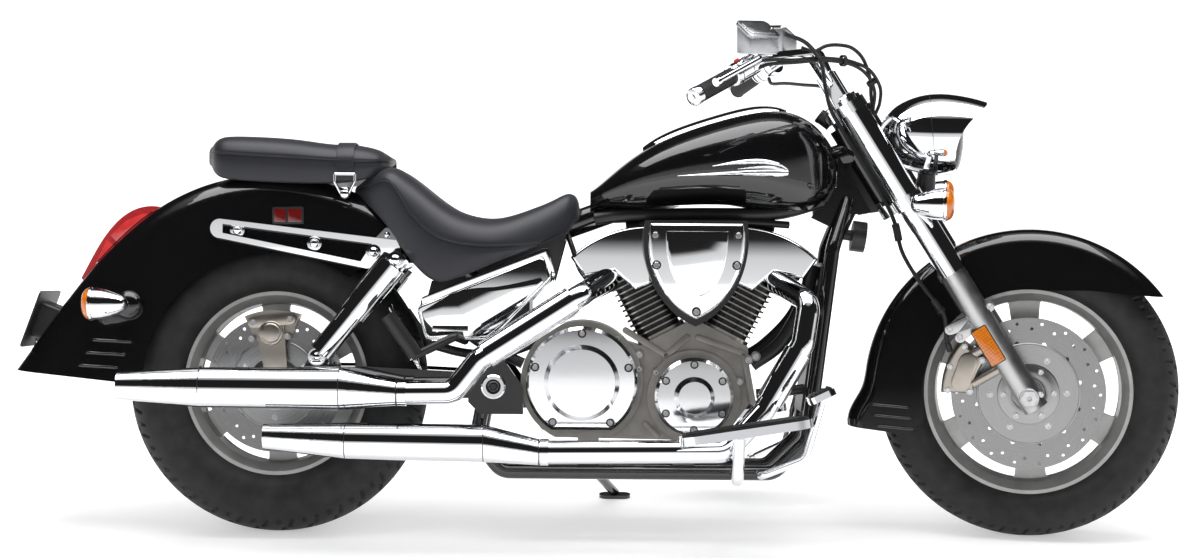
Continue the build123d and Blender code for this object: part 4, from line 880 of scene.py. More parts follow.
def between(rows: Sequence[Row], x: float) -> List[float]:
    """Reads a table of rows (x, value, value ...) between its rows, along a smooth curve.

    Args:
        rows: the table, its first column rising.
        x: where to read.

    Returns:
        The values of the other columns.
    """
    last = len(rows) - 1
    index = min(max(sum(1 for row in rows if row[0] <= x) - 1, 0), last - 1)

    def slope(at: int, column: int) -> float:
        low, high = rows[max(at - 1, 0)], rows[min(at + 1, last)]
        return (high[column] - low[column]) / (high[0] - low[0])

    first, second = rows[index], rows[index + 1]
    step = second[0] - first[0]
    share = min(max((x - first[0]) / step, 0.0), 1.0)
    values = []
    for column in range(1, len(first)):
        rise = second[column] - first[column]
        out, into = slope(index, column) * step, slope(index + 1, column) * step
        values.append(
            first[column] + out * share + (
                3 * rise - 2 * out - into
            ) * share**2 + (out + into - 2 * rise) * share**3
        )
    return values


def smooth_path(points: Sequence[Point], steps: int) -> List[Vector]:
    """Points along a smooth curve through some places, both ends included."""
    places = [Vector(point) for point in points]
    rows = [(float(index), *place) for index, place in enumerate(places)]
    count = (len(places) - 1) * steps
    return [Vector(between(rows, index / steps)) for index in range(count + 1)]


def arc_through(first: Tuple[float, float], middle: Tuple[float, float], last: Tuple[float, float],
                steps: int) -> List[Tuple[float, float]]:
    """Points along the arc through three points of a plane, both ends included."""
    a, b, c = (complex(*point) for point in (first, middle, last))
    turn = (c - a) / (b - a)
    centre = a + (b - a) * (turn - abs(turn) ** 2) / (turn - turn.conjugate())
    radius = abs(a - centre)
    start, via, end = (math.atan2((point - centre).imag, (point - centre).real) for point in (a, b, c))
    full = 2 * math.pi
    sweep = (end - start) % full
    if (via - start) % full > sweep:
        sweep -= full
    angles = [start + sweep * step / steps for step in range(steps + 1)]
    return [
        (centre.real + radius * math.cos(angle), centre.imag + radius * math.sin(angle)) for angle in angles
    ]


class Head(Enum):
    """The heads that a screw may have."""

    DOME = "dome"
    HEX = "hex"
    SOCKET = "socket"


def screw(mesh: Mesh, place: Point, axis: Point, radius: float, head: Head = Head.HEX) -> None:
    """Adds a screw's head, with its washer where it has one, to a mesh.

    Args:
        mesh: the mesh it joins.
        place: where it sits, in the mesh's axes.
        axis: which way it faces.
        radius: its head's radius.
        head: the kind of head.
    """
    if head is Head.DOME:
        profile = [(-0.2, 1.0), (0.1, 1.0), (0.42, 0.86), (0.68, 0.55), (0.78, 0.0)]
        mesh.lathe(
            Vector(place), Vector(axis), [(along * radius, reach * radius) for along, reach in profile], 24
        )
        return
    mesh.lathe(
        Vector(place), Vector(axis), [(-0.1 * radius, 1.35 * radius), (0.15 * radius, 1.35 * radius)], 24
    )
    if head is Head.HEX:
        profile = [(0.0, 1.1), (0.6, 1.1), (0.72, 0.98), (0.72, 0.0)]
        mesh.lathe(
            Vector(place), Vector(axis), [(along * radius, reach * radius) for along, reach in profile], 6
        )
        return
    profile = [(0.0, 1.0), (0.75, 1.0), (0.85, 0.9), (0.85, 0.55), (0.35, 0.5), (0.35, 0.0)]
    mesh.lathe(
        Vector(place), Vector(axis), [(along * radius, reach * radius) for along, reach in profile], 18
    )


@dataclass
class Seat:
    """A foam seat under leather: a crowned top, a stitched seam round it and side panels below.

    Each row of the table gives, at a place along the machine, the heights of the lower edge, the seam
    and the top, and half the width.
    """

    name: str
    node: str
    rows: Tuple[Row, ...]
    arch: float
    hollow: bool
    fill: float = 0.8
    stations: int = 30
    seam_groove: float = 0.0028
    end_steps: Tuple[Tuple[float, float], ...] = ((0.006, 0.86), (0.010, 0.6), (0.012, 0.25))

    def section(self, x: float) -> List[Tuple[float, float]]:
        """The closed outline across the seat at x, as (left, up), from the seam's right end round."""
        bottom, seam, top, half = between(self.rows, x)
        crown = max(top - seam, 0.004)
        skirt = max(seam - bottom, 0.004)
        side = [
            (0.0, top - 0.004), (0.3 * half, top - 0.001), (0.56 * half, top - 0.02 * crown),
            (0.76 * half, top - 0.16 * crown), (0.90 * half, top - 0.42 * crown), (
                0.975 * half, seam + 0.22 * crown
            ),
            (0.995 * half, seam + self.seam_groove), (0.995 * half - self.seam_groove, seam),
            (1.0 * half, seam - min(0.012, 0.3 * skirt)), (0.995 * half, seam - 0.5 * skirt),
            (0.955 * half, bottom + 0.1 * skirt), (0.92 * half, bottom),
        ]
        if self.hollow:
            roof = min(seam, top - 0.035)
            side += [
                (0.88 * half, bottom + 0.006), (0.84 * half, 0.5 * (bottom + roof)), (0.5 * half, roof),
                (0.0, roof)
            ]
        else:
            side += [
                (0.7 * half, bottom + 0.3 * self.arch), (0.35 * half, bottom + 0.8 * self.arch),
                (0.0, bottom + self.arch)
            ]
        mirrored = [(-across, up) for across, up in side[-2:0:-1]]
        return side + mirrored

    def build(self) -> None:
        """Makes the cushion and its seam's piping."""
        mesh = Mesh(machine)
        low, high = self.rows[0][0], self.rows[-1][0]
        places = [
            low + (high - low) * 0.5 * (1 - math.cos(math.pi * step / self.stations))
            for step in range(self.stations + 1)
        ]
        rings = [mesh.ring([Vector((x, across, up)) for across, up in self.section(x)]) for x in places]
        for end, sign in ((0, -1), (-1, 1)):
            outline = self.section(places[end])
            middle = sum(up for _, up in outline) / len(outline)
            for out, share in self.end_steps:
                ring = mesh.ring([
                    Vector((places[end] + sign * out, across * share, middle + (up - middle) * share))
                    for across, up in outline
                ])
                rings = rings + [ring] if sign > 0 else [ring] + rings
        mesh.skin(rings)
        mesh.cap(rings[0], flip=True)
        mesh.cap(rings[-1])
        cushion = mesh.make(self.name, LEATHER, Body.CHASSIS, subdivide=2, sharp=180)
        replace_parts(cushion, self.node)
        self.piping(places)

    def piping(self, places: Sequence[float]) -> None:
        """Lays the seam's cord in its groove, on both sides."""
        mesh = Mesh(machine)
        edge = []
        for x in places:
            _, seam, _, half = between(self.rows, x)
            edge.append((x, 0.995 * half - 0.4 * self.seam_groove, seam))
        left = [Vector((x, across, up)) for x, across, up in edge]
        right = [Vector((x, -across, up)) for x, across, up in reversed(edge)]
        for side in (left, right):
            mesh.tube(side, 0.0016, 8)
        mesh.make(f"{self.name}_seam", SATIN_BLACK, Body.CHASSIS)


@dataclass
class SeatStrap:
    """The hand strap over the passenger's seat, with its chrome buckle and dome screw."""

    seat: Seat
    x: float = 0.155
    half_width: float = 0.019
    thickness: float = 0.0028
    buckle_height: float = 0.779
    anchor_height: float = 0.748
    bar_radius: float = 0.0032

    def build(self) -> None:
        """Makes the strap and a buckle on each side."""
        outline = self.seat.section(self.x)
        side = [point for point in outline[:10]]
        path = [(-across, up) for across, up in reversed(side[1:])] + side
        path = [(path[0][0] * 1.0, self.buckle_height)] + path + [(path[-1][0] * 1.0, self.buckle_height)]
        lifted = []
        for index, (across, up) in enumerate(path):
            before, after = path[max(index - 1, 0)], path[min(index + 1, len(path) - 1)]
            along = Vector((after[0] - before[0], after[1] - before[1])).normalized()
            outward = Vector((-along.y, along.x)) * 0.0015
            lifted.append((across + outward.x, up + outward.y, outward.normalized()))
        mesh = Mesh(machine)
        rings = []
        for across, up, outward in lifted:
            outer = (across + outward.x * self.thickness, up + outward.y * self.thickness)
            rings.append(mesh.ring([
                Vector((self.x - self.half_width, across, up)), Vector(
                    (self.x + self.half_width, across, up)
                ),
                Vector((self.x + self.half_width, *outer)), Vector((self.x - self.half_width, *outer)),
            ]))
        mesh.skin(rings)
        mesh.cap(rings[0], flip=True)
        mesh.cap(rings[-1])
        mesh.make("strap", LEATHER, Body.CHASSIS, bevel=0.0008)
        for hand in (-1, 1):
            self.buckle(hand, abs(path[0][0]))

    def buckle(self, hand: int, reach: float) -> None:
        """Makes one side's buckle: a wire loop under the strap's end and a dome screw below it."""
        mesh = Mesh(machine)
        across = hand * (reach + 0.004)
        top, low = self.buckle_height + 0.012, self.anchor_height
        wide, narrow = self.half_width + 0.003, 0.008
        loop = [
            Vector((self.x - wide, across, top)), Vector((self.x + wide, across, top)),
            Vector((self.x + wide, across, top - 0.016)), Vector((self.x + narrow, across * 0.97, low)),
            Vector((self.x - narrow, across * 0.97, low)), Vector((self.x - wide, across, top - 0.016)),
        ]
        for first, second in zip(loop, loop[1:] + loop[:1]):
            mesh.tube([first, second], self.bar_radius, 10)
        screw(mesh, (self.x, across * 0.97, low), (0, hand, 0), 0.011, Head.DOME)
        mesh.make(f"buckle_{side_name(hand)}", CHROME, Body.CHASSIS)


@dataclass
class Tyre:
    """A road tyre: a round crown with slanted shoulder grooves, and ribbed side walls."""

    name: str
    node: str
    body: Body
    axes: Axes
    radius: float
    width: float
    rim_radius: float
    pitches: int
    groove_depth: float = 0.006
    steps: int = 960
    crown_steps: int = 40
    wall_steps: int = 14
    crown_drop: float = 0.34
    crown_width: float = 0.8

    def profile(self) -> List[Tuple[float, float, float]]:
        """The outline across the tyre as (left, radius, place on the crown); the last is over 1 on a wall."""
        half = self.width / 2
        shoulder = (self.crown_width * half, self.radius - self.crown_drop * half)
        bead = (0.66 * half, self.rim_radius)
        middle = (half, (self.radius + self.rim_radius) / 2)
        crown = arc_through((-shoulder[0], shoulder[1]), (0.0, self.radius), shoulder, self.crown_steps)
        wall = arc_through(shoulder, middle, bead, self.wall_steps)[1:]
        left = [(across, radius, 2.0 + index / len(wall)) for index, (across, radius) in enumerate(wall)]
        right = [(-across, radius, place) for across, radius, place in reversed(left)]
        return right + [(across, radius, across / shoulder[0]) for across, radius in crown] + left

    def groove(self, angle: float, place: float) -> float:
        """How deep the tread is cut at an angle and a place across the crown."""
        turn = angle / (2 * math.pi) * self.pitches
        reach = abs(place)
        if place > 0:
            turn += 0.5
        depth = 0.0
        slant = 0.55 * reach + (0.16 if reach > 0.62 else 0.0)
        off = abs((turn - slant) % 1.0 - 0.5)
        if reach > 0.30:
            depth = max(depth, 1.0 - max(off - 0.045, 0.0) / 0.03)
        notch = abs((turn - slant - 0.5) % 1.0 - 0.5)
        if reach > 0.80:
            depth = max(depth, 1.0 - max(notch - 0.05, 0.0) / 0.03)
        if 0.13 < reach < 0.20:
            depth = max(depth, 1.0)
        return max(depth, 0.0) * self.groove_depth

    def build(self) -> None:
        """Makes the tyre with its grooves and replaces the plain one."""
        profile = self.profile()
        mesh = Mesh(self.axes)
        rings = []
        for step in range(self.steps):
            angle = 2 * math.pi * step / self.steps
            points = []
            for across, radius, place in profile:
                cut = self.groove(angle, place) if abs(place) <= 1.0 else 0.0
                ridge = 0.0009 * (math.sin(place * 60.0) > 0.55) if 2.25 < abs(place) < 2.8 else 0.0
                reach = radius - cut
                swell = 1.0 + ridge / max(abs(across), 0.01)
                points.append(Vector((reach * math.cos(angle), across * swell, reach * math.sin(angle))))
            rings.append(mesh.ring(points))
        mesh.skin(rings + [rings[0]], closed=True)
        tyre = mesh.make(self.name, RUBBER, self.body, sharp=32)
        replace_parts(tyre, self.node)


def steered(ahead: float, along: float) -> Axes:
    """Upright axes that turn with the fork, their origin in the fork's own coordinates."""
    forward = fork.ahead * math.cos(RAKE) - fork.up * math.sin(RAKE)
    upward = fork.ahead * math.sin(RAKE) + fork.up * math.cos(RAKE)
    return Axes(fork.at(ahead, 0.0, along), forward, fork.left, upward)


@dataclass
class Indicators:
    """The amber lenses on the four bullet indicators, with the ring that holds each."""

    radius: float = 0.0345
    lens_length: float = 0.019
    cover: float = 0.0006

    def build(self) -> None:
        """Makes the lenses and their rings, in pairs."""
        front = steered(0.042, 0.470)
        rear = machine.moved(0, 0, 0.505)
        for name, axes, body, seat, across, heading in (
            ("front", front, Body.STEERING, 0.028, 0.172, 1),
            ("rear", rear, Body.CHASSIS, -0.386, 0.176, -1),
        ):
            for hand in (-1, 1):
                self.lens(
                    f"{name}_{side_name(hand)}", axes, body, Vector((seat, hand * across, 0)), heading
                )

    def lens(self, name: str, axes: Axes, body: Body, seat: Vector, heading: int) -> None:
        """Makes one lens and the chrome ring at its root."""
        reach, radius = self.lens_length + self.cover, self.radius + self.cover
        mesh = Mesh(axes)
        profile = [(-0.001, radius)] + [
            (reach * math.sin(angle), radius * math.cos(angle) ** 0.7)
            for angle in (math.pi / 2 * step / 10 for step in range(1, 10))
        ] + [(reach, 0.0)]
        mesh.lathe(seat, Vector((heading, 0, 0)), profile, 48)
        mesh.make(f"{name}_lens", AMBER_LENS, body)
        ring = Mesh(axes)
        rim = [
            (-0.006, radius + 0.0002), (-0.004, radius + 0.0016), (0.0, radius + 0.0019),
            (0.002, radius + 0.0006)
        ]
        ring.lathe(seat, Vector((heading, 0, 0)), rim, 64)
        ring.make(f"{name}_lens_ring", CHROME, body)


def first_face(names: str, x: float, z: float, hand: int = -1) -> float:
    """How far to the left the outermost surface of some parts lies.

    Args:
        names: the parts' names.
        x: where to look, along the machine.
        z: where to look, in height.
        hand: -1 to look from the right, 1 from the left.

    Returns:
        The place across the machine.
    """
    start, heading = machine.at(x, hand * 1.5, z), machine.left * -hand
    found = [Skin(name).hit(start, heading) for name in names.split()]
    places = [(hit[0] - machine.origin).dot(machine.left) for hit in found if hit]
    if not places:
        raise ValueError(f"{names} is not at {x}, {z}")
    return max(places, key=lambda place: place * hand)


def on_side(y: float) -> Callable[[float, float, float], Vector]:
    """Turns (x, z, height) into a point, the height measured outward from a face at y."""
    hand = -1 if y < 0 else 1
    return lambda x, z, height: Vector((x, y + hand * height, z))


def flat(u: float, v: float, height: float) -> Vector:
    """A slab's point when it lies on its axes' floor."""
    return Vector((u, v, height))


def beside(y: float, hand: int) -> Callable[[float, float, float], Vector]:
    """A slab's placing on an upright plane at y, its height outward on the given side."""
    def put(u: float, v: float, height: float) -> Vector:
        return Vector((u, y + hand * height, v))

    return put


def pill(start: Tuple[float, float], end: Tuple[float, float], radius: float, steps: int = 10,
         end_radius: Optional[float] = None) -> List[Tuple[float, float]]:
    """The outline of a bar with round ends between two points."""
    heading = math.atan2(end[1] - start[1], end[0] - start[0])
    outline = []
    for (u, v), first, reach in (
        (end, heading - math.pi / 2, end_radius or radius), (start, heading + math.pi / 2, radius)
    ):
        for step in range(steps + 1):
            angle = first + math.pi * step / steps
            outline.append((u + reach * math.cos(angle), v + reach * math.sin(angle)))
    return outline


def rounded(
    centre: Tuple[float, float], size: Tuple[float, float], corner: float, turn: float = 0.0
) -> List[Tuple[float, float]]:
    """The outline of a rectangle with round corners, turned by an angle in degrees."""
    outline = []
    angle = math.radians(turn)
    for quarter, (right, above) in enumerate(((1, 1), (-1, 1), (-1, -1), (1, -1))):
        for step in range(6):
            bend = math.pi / 2 * (quarter + step / 5)
            u = right * (size[0] / 2 - corner) + corner * math.cos(bend)
            v = above * (size[1] / 2 - corner) + corner * math.sin(bend)
            outline.append((
                centre[0] + u * math.cos(angle) - v * math.sin(angle),
                centre[1] + u * math.sin(angle) + v * math.cos(angle),
            ))
    return outline


@dataclass
class WheelTrim:
    """The screwed carrier of a wheel's brake disc: a stepped ring, the hub's boss and two rings of screws."""

    end: str
    body: Body
    axes: Axes
    face: float
    carrier: float
    boss: float
    rings: Tuple[Tuple[float, int, float], ...]

    def build(self) -> None:
        """Makes the carrier and its screws on the right of the wheel."""
        outward = Vector((0, -1, 0))
        plate = Mesh(self.axes)
        steps = (
            (-0.0005, 0.036), (0.0055, 0.036), (0.0060, 0.038), (0.0060, self.boss - 0.012), (
                0.0048, self.boss - 0.010
            ),
            (0.0048, self.boss - 0.003), (0.0035, self.boss), (0.0016, self.boss + 0.001), (
                0.0016, self.carrier - 0.004
            ),
            (0.0026, self.carrier - 0.003), (
                0.0026, self.carrier - 0.001
            ), (0.0018, self.carrier), (-0.0005, self.carrier),
        )
        plate.lathe(Vector((0, -self.face, 0)), outward, steps, 96, closed=True)
        finish = TurnedMetal(f"{self.end}_carrier_metal", (0.34, 0.34, 0.34), 0.34, axes=self.axes)
        slot_of[finish.name] = "disc_steel"
        plate.make(f"{self.end}_disc_carrier", finish, self.body)
        heads = Mesh(self.axes)
        for radius, count, height in self.rings:
            for index in range(count):
                angle = math.pi / 2 + 2 * math.pi * index / count
                place = (radius * math.cos(angle), -self.face - height, radius * math.sin(angle))
                screw(heads, place, (0, -1, 0), 0.0052, Head.SOCKET)
        heads.make(f"{self.end}_disc_screws", STEEL, self.body)


@dataclass
class TankSpear:
    """A plain chrome spear with two short wings on each flank of the tank."""

    lift: float = 0.0042
    steps: int = 36
    blades: Tuple[Tuple[Row, ...], ...] = (
        (
            (0.880, 0.7925, 0.0008), (0.960, 0.7965, 0.0034), (1.040, 0.8000, 0.0062),
            (1.100, 0.8010, 0.0080), (1.120, 0.8015, 0.0062)
        ),
        (
            (0.955, 0.8140, 0.0006), (1.010, 0.8220, 0.0044), (1.060, 0.8245, 0.0056),
            (1.104, 0.8180, 0.0044), (1.119, 0.8095, 0.0020)
        ),
        (
            (1.010, 0.8080, 0.0005), (1.050, 0.8120, 0.0028), (1.085, 0.8125, 0.0034),
            (1.112, 0.8085, 0.0014)
        ),
    )

    def build(self) -> None:
        """Makes the blades on both flanks, each with a ridge down its middle."""
        skin = Skin("fuel_tank")
        for hand in (-1, 1):
            mesh = Mesh(machine)
            for rows in self.blades:
                rings = []
                for step in range(self.steps + 1):
                    x = rows[0][0] + (rows[-1][0] - rows[0][0]) * step / self.steps
                    middle, half = between(rows, x)
                    ring = self.section(skin, hand, x, middle, half)
                    if ring:
                        rings.append(mesh.ring(ring))
                mesh.skin(rings)
                mesh.cap(rings[0], flip=True)
                mesh.cap(rings[-1])
            mesh.make(f"tank_spear_{side_name(hand)}", CHROME, Body.CHASSIS, sharp=50)

    def section(self, skin: Skin, hand: int, x: float, middle: float, half: float) -> List[Vector]:
        """The blade's section at x: sunk into the tank's skin at its edges and lifted off it at the ridge."""
        points = []
        for share in (-1.0, -0.6, -0.1, 0.1, 0.6, 1.0, 0.6, -0.6):
            hit = skin.hit(machine.at(x, hand * 0.4, middle + share * half), machine.left * -hand)
            if hit is None:
                return []
            depth = -0.002 if len(points) > 5 else self.lift * min(half / 0.004, 1.0) * (
                1 - share * share
            ) - 0.0002
            place = hit[0] + hit[1] * depth - machine.origin
            points.append(
                Vector((place.dot(machine.ahead), place.dot(machine.left), place.dot(machine.up)))
            )
        return points


@dataclass
class TailTrim:
    """The tail lamp's base, the rear indicators' black domes, the side markers and the reflector."""

    def build(self) -> None:
        """Makes each of them."""
        self.base()
        self.lens_lines()
        self.domes()
        self.markers()
        self.reflector()

    def base(self) -> None:
        """Lays the lamp's chrome base along the fender's crown."""
        skin = Skin("rear_fender")
        mesh = Mesh(machine)
        rings = []
        for step in range(19):
            x = -0.252 - 0.186 * step / 18
            heading = (machine.ahead * 0.55 - machine.up).normalized()
            hit = skin.hit(
                machine.at(x, 0, 0.0) + machine.up * 1.3 - machine.ahead * 0.55 * (1.3 - 0.66), heading
            )
            if hit is None:
                continue
            place = hit[0] - machine.origin
            foot = Vector((place.dot(machine.ahead), 0, place.dot(machine.up)))
            out = Vector((hit[1].dot(machine.ahead), 0, hit[1].dot(machine.up))).normalized()
            wide = 0.0495
            rings.append(mesh.ring([
                foot + out * -0.004 + Vector((0, -wide, 0)), foot + out * -0.004 + Vector((0, wide, 0)),
                foot + out * 0.0045 + Vector((0, wide, 0)), foot + out * 0.0045 + Vector((0, -wide, 0)),
            ]))
        mesh.skin(rings)
        mesh.cap(rings[0], flip=True)
        mesh.cap(rings[-1])
        mesh.make("tail_lamp_base", CHROME, Body.CHASSIS, bevel=0.001)

    def lens_lines(self) -> None:
        """Parts the lens on each side into its upper reflector and its lower lamp."""
        mesh = Mesh(machine)
        for hand in (-1, 1):
            y = hand * 0.046
            upper = [
                (-0.372, 0.655), (-0.338, 0.688), (-0.300, 0.704), (-0.276, 0.704), (-0.332, 0.652),
                (-0.352, 0.634)
            ]
            lower = [(-0.420, 0.560), (-0.380, 0.646), (-0.358, 0.627), (-0.400, 0.571)]
            for outline in (upper, lower):
                mesh.slab(outline, -0.0005, 0.0009, on_side(y))
        mesh.make("tail_lamp_panels", PALE_RED, Body.CHASSIS, bevel=0.0006)

    def domes(self) -> None:
        """Makes the black domes that the rear indicators stand on."""
        for hand in (-1, 1):
            mesh = Mesh(machine)
            profile = [
                (-0.004, 0.0335), (0.002, 0.0335), (0.010, 0.0322), (0.018, 0.0285), (0.024, 0.0222),
                (0.028, 0.0135), (0.029, 0.0)
            ]
            mesh.lathe(Vector((-0.318, hand * 0.105, 0.502)), Vector((0, hand, 0)), profile, 48)
            mesh.make(f"indicator_dome_{side_name(hand)}", BLACK, Body.CHASSIS)

    def markers(self) -> None:
        """Makes the red side markers, two cells in a black frame."""
        for hand in (-1, 1):
            name = side_name(hand)
            frame_mesh = Mesh(machine)
            frame_mesh.slab(
                rounded((0.029, 0.7005), (0.069, 0.038), 0.004, 1.5), -0.012, 0.0045, on_side(hand * 0.105)
            )
            frame_mesh.make(f"marker_frame_{name}", SATIN_BLACK, Body.CHASSIS, bevel=0.001)
            lens = Mesh(machine)
            for x, wide in ((0.0115, 0.026), (0.0440, 0.030)):
                lens.slab(
                    rounded((x, 0.7005), (wide, 0.029), 0.003, 1.5), 0.003, 0.0068, on_side(hand * 0.105)
                )
            lens.make(f"marker_{name}", MARKER_RED, Body.CHASSIS, bevel=0.0008)

    def reflector(self) -> None:
        """Makes the round red reflector on its stalk under the plate's bracket."""
        mesh = Mesh(machine)
        mesh.lathe(
            Vector((-0.540, 0, 0.418)), Vector((-1, 0, 0.2)),
            [(-0.002, 0.0195), (0.0025, 0.0195), (0.0045, 0.0165), (0.005, 0.0)], 40
        )
        mesh.make("rear_reflector", MARKER_RED, Body.CHASSIS)
        holder = Mesh(machine)
        holder.lathe(
            Vector((-0.538, 0, 0.418)), Vector((-1, 0, 0.2)),
            [(-0.006, 0.020), (0.003, 0.0215), (0.0035, 0.0195), (0.001, 0.0)], 40
        )
        holder.tube(
            [Vector((-0.535, 0, 0.418)), Vector((-0.520, 0, 0.425)), Vector((-0.512, 0, 0.446))], 0.005
        )
        holder.make("rear_reflector_holder", CHROME, Body.CHASSIS)
        bolts = Mesh(machine)
        up = Vector((0.34, 0, 0.94))
        for across in (-0.040, 0.040):
            for rise in (0.018, -0.052):
                place = Vector((-0.538, across, 0.470)) + up * rise
                screw(bolts, tuple(place), (-0.94, 0, 0.34), 0.005, Head.HEX)
        bolts.make("bracket_bolts", STEEL, Body.CHASSIS)


@dataclass
class ChassisBolts:
    """Chrome dome bolts on the struts and shocks, and the swingarm's cap."""

    domes: Tuple[Tuple[float, float, float, str], ...] = (
        (
            -0.082, 0.668, 0.0105, "fender_struts rear_fender"
        ), (0.087, 0.640, 0.0105, "fender_struts rear_fender"),
        (0.218, 0.622, 0.0110, "fender_struts"), (
            0.270, 0.604, 0.0125, "fender_struts"
        ), (0.102, 0.394, 0.0105, "rear_shocks"),
    )
    lower: Tuple[Tuple[float, float], ...] = ((1.150, 0.110), (1.100, 0.078))

    def build(self) -> None:
        """Makes the domes, the strut's gusset, the pivot cap and the small spring."""
        mesh = Mesh(machine)
        for x, z, radius, node in self.domes:
            for hand in (-1, 1):
                y = first_face(node, x + 0.0095 * (node == "rear_shocks"), z, hand)
                mesh.lathe(
                    Vector((x, y, z)), Vector((0, hand, 0)),
                    [(-0.002, 1.5 * radius), (0.0012, 1.5 * radius), (0.0016, 1.35 * radius), (0.0016, 0)],
                    32
                )
                screw(mesh, (x, y + hand * 0.001, z), (0, hand, 0), radius, Head.DOME)
        for hand in (-1, 1):
            mesh.slab(
                [(0.214, 0.645), (0.243, 0.675), (0.252, 0.675), (0.276, 0.640)], -0.006, 0.008,
                on_side(hand * 0.106)
            )
            screw(mesh, (0.247, hand * 0.114, 0.660), (0, hand, 0), 0.0065, Head.DOME)
        mesh.make("dome_bolts", CHROME, Body.CHASSIS)
        self.pivot_cap()
        self.spring()

    def pivot_cap(self) -> None:
        """Makes the swingarm pivot's chrome ring round a black dome, on both sides."""
        ring, dome = Mesh(machine), Mesh(machine)
        for hand in (-1, 1):
            y = first_face("frame_cradle_right frame_cradle_left swingarm", 0.492, 0.348, hand)
            start, axis = Vector((0.483, y, 0.331)), Vector((0, hand, 0))
            ring.lathe(
                start, axis,
                [
                    (-0.004, 0.0265), (0.0035, 0.0265), (0.006, 0.0235), (0.006, 0.0165), (0.004, 0.0145),
                    (-0.004, 0.0145)
                ],
                48, closed=True
            )
            dome.lathe(
                start, axis,
                [
                    (-0.003, 0.0145), (0.003, 0.0142), (0.008, 0.0105), (0.0085, 0.0085), (0.004, 0.0065),
                    (0.004, 0.0)
                ],
                32
            )
        ring.make("pivot_ring", CHROME, Body.CHASSIS)
        dome.make("pivot_dome", BLACK, Body.CHASSIS)

    def spring(self) -> None:
        """Makes the brake light switch's small black spring and its chrome foot on the right."""
        top, foot = Vector((0.262, -0.112, 0.486)), Vector((0.305, -0.112, 0.396))
        axis = (foot - top).normalized()
        side = Vector((0, 1, 0))
        other = axis.cross(side)
        length = (foot - top).length
        turns, steps = 13, 18
        path = []
        for step in range(turns * steps + 1):
            angle = 2 * math.pi * step / steps
            along = 0.006 + (length - 0.012) * step / (turns * steps)
            path.append(top + axis * along + (side * math.cos(angle) + other * math.sin(angle)) * 0.0088)
        coil = Mesh(machine)
        coil.tube(path, 0.0021, 8)
        coil.lathe(
            top, axis, [(-0.006, 0.007), (-0.002, 0.012), (0.005, 0.012), (0.007, 0.006), (length, 0.006)],
            24
        )
        coil.make("switch_spring", SATIN_BLACK, Body.CHASSIS)
        ends = Mesh(machine)
        ends.lathe(foot, axis, [(-0.006, 0.0125), (0.008, 0.0125), (0.011, 0.009), (0.020, 0.0065)], 24)
        ends.tube(
            [foot + axis * 0.014, foot + axis * 0.028, foot + axis * 0.034 + Vector((0, 0.03, -0.006))],
            0.005
        )
        ends.tube([top, top - axis * 0.014, top - axis * 0.020 + Vector((0, 0.022, 0))], 0.005)
        ends.make("switch_spring_ends", CHROME, Body.CHASSIS)


@dataclass
class CoverTrim:
    """The side covers' raised swooshes and blank plates, the mufflers' seams and the exhaust clamps."""

    face: float = 0.148
    seams: Tuple[Tuple[float, float, float], ...] = (
        (-0.139, 0.331, 0.0430), (0.159, 0.3285, 0.0460), (0.280, 0.320, 0.0285),
        (0.172, 0.217, 0.0390), (0.467, 0.214, 0.0400), (0.585, 0.196, 0.0285),
    )

    def build(self) -> None:
        """Makes them on both sides, the mufflers' only on the right."""
        top = [
            (0.326, 0.492), (0.388, 0.532), (0.420, 0.5425), (0.449, 0.546), (0.485, 0.548), (0.515, 0.553),
            (0.555, 0.562), (0.584, 0.570)
        ]
        low = [
            (0.590, 0.560), (0.575, 0.545), (0.540, 0.507), (0.500, 0.466), (0.470, 0.441), (0.450, 0.438),
            (0.345, 0.438), (0.336, 0.445)
        ]
        for hand in (-1, 1):
            name = side_name(hand)
            panel = Mesh(machine)
            panel.slab(top + low, -0.002, 0.0030, on_side(hand * self.face))
            panel.make(f"side_panel_{name}", SIDE_PANEL, Body.CHASSIS, bevel=0.0022)
            plate = Mesh(machine)
            plate.slab(
                rounded((0.389, 0.4565), (0.078, 0.0125), 0.001), 0.0020, 0.0045, on_side(hand * self.face)
            )
            plate.make(f"blank_plate_{name}", SOFT_CHROME, Body.CHASSIS, bevel=0.0007)
        seams = Mesh(machine)
        for x, z, radius in self.seams:
            seams.lathe(
                Vector((x, -0.230, z)), Vector((1, 0, 0)),
                [
                    (-0.0009, radius - 0.001), (-0.0009, radius + 0.0005), (0.0009, radius + 0.0005),
                    (0.0009, radius - 0.001)
                ],
                64, closed=True
            )
        seams.make("muffler_seams", SATIN_BLACK, Body.CHASSIS)
        clamps = Mesh(machine)
        for x, z, radius in ((0.292, 0.320, 0.0255), (0.597, 0.196, 0.0255)):
            clamps.lathe(
                Vector((x, -0.230, z)), Vector((1, 0, 0)),
                [(-0.010, radius), (-0.009, radius + 0.003), (0.009, radius + 0.003), (0.010, radius)], 48,
                closed=True
            )
        clamps.make("exhaust_clamps", CHROME, Body.CHASSIS)


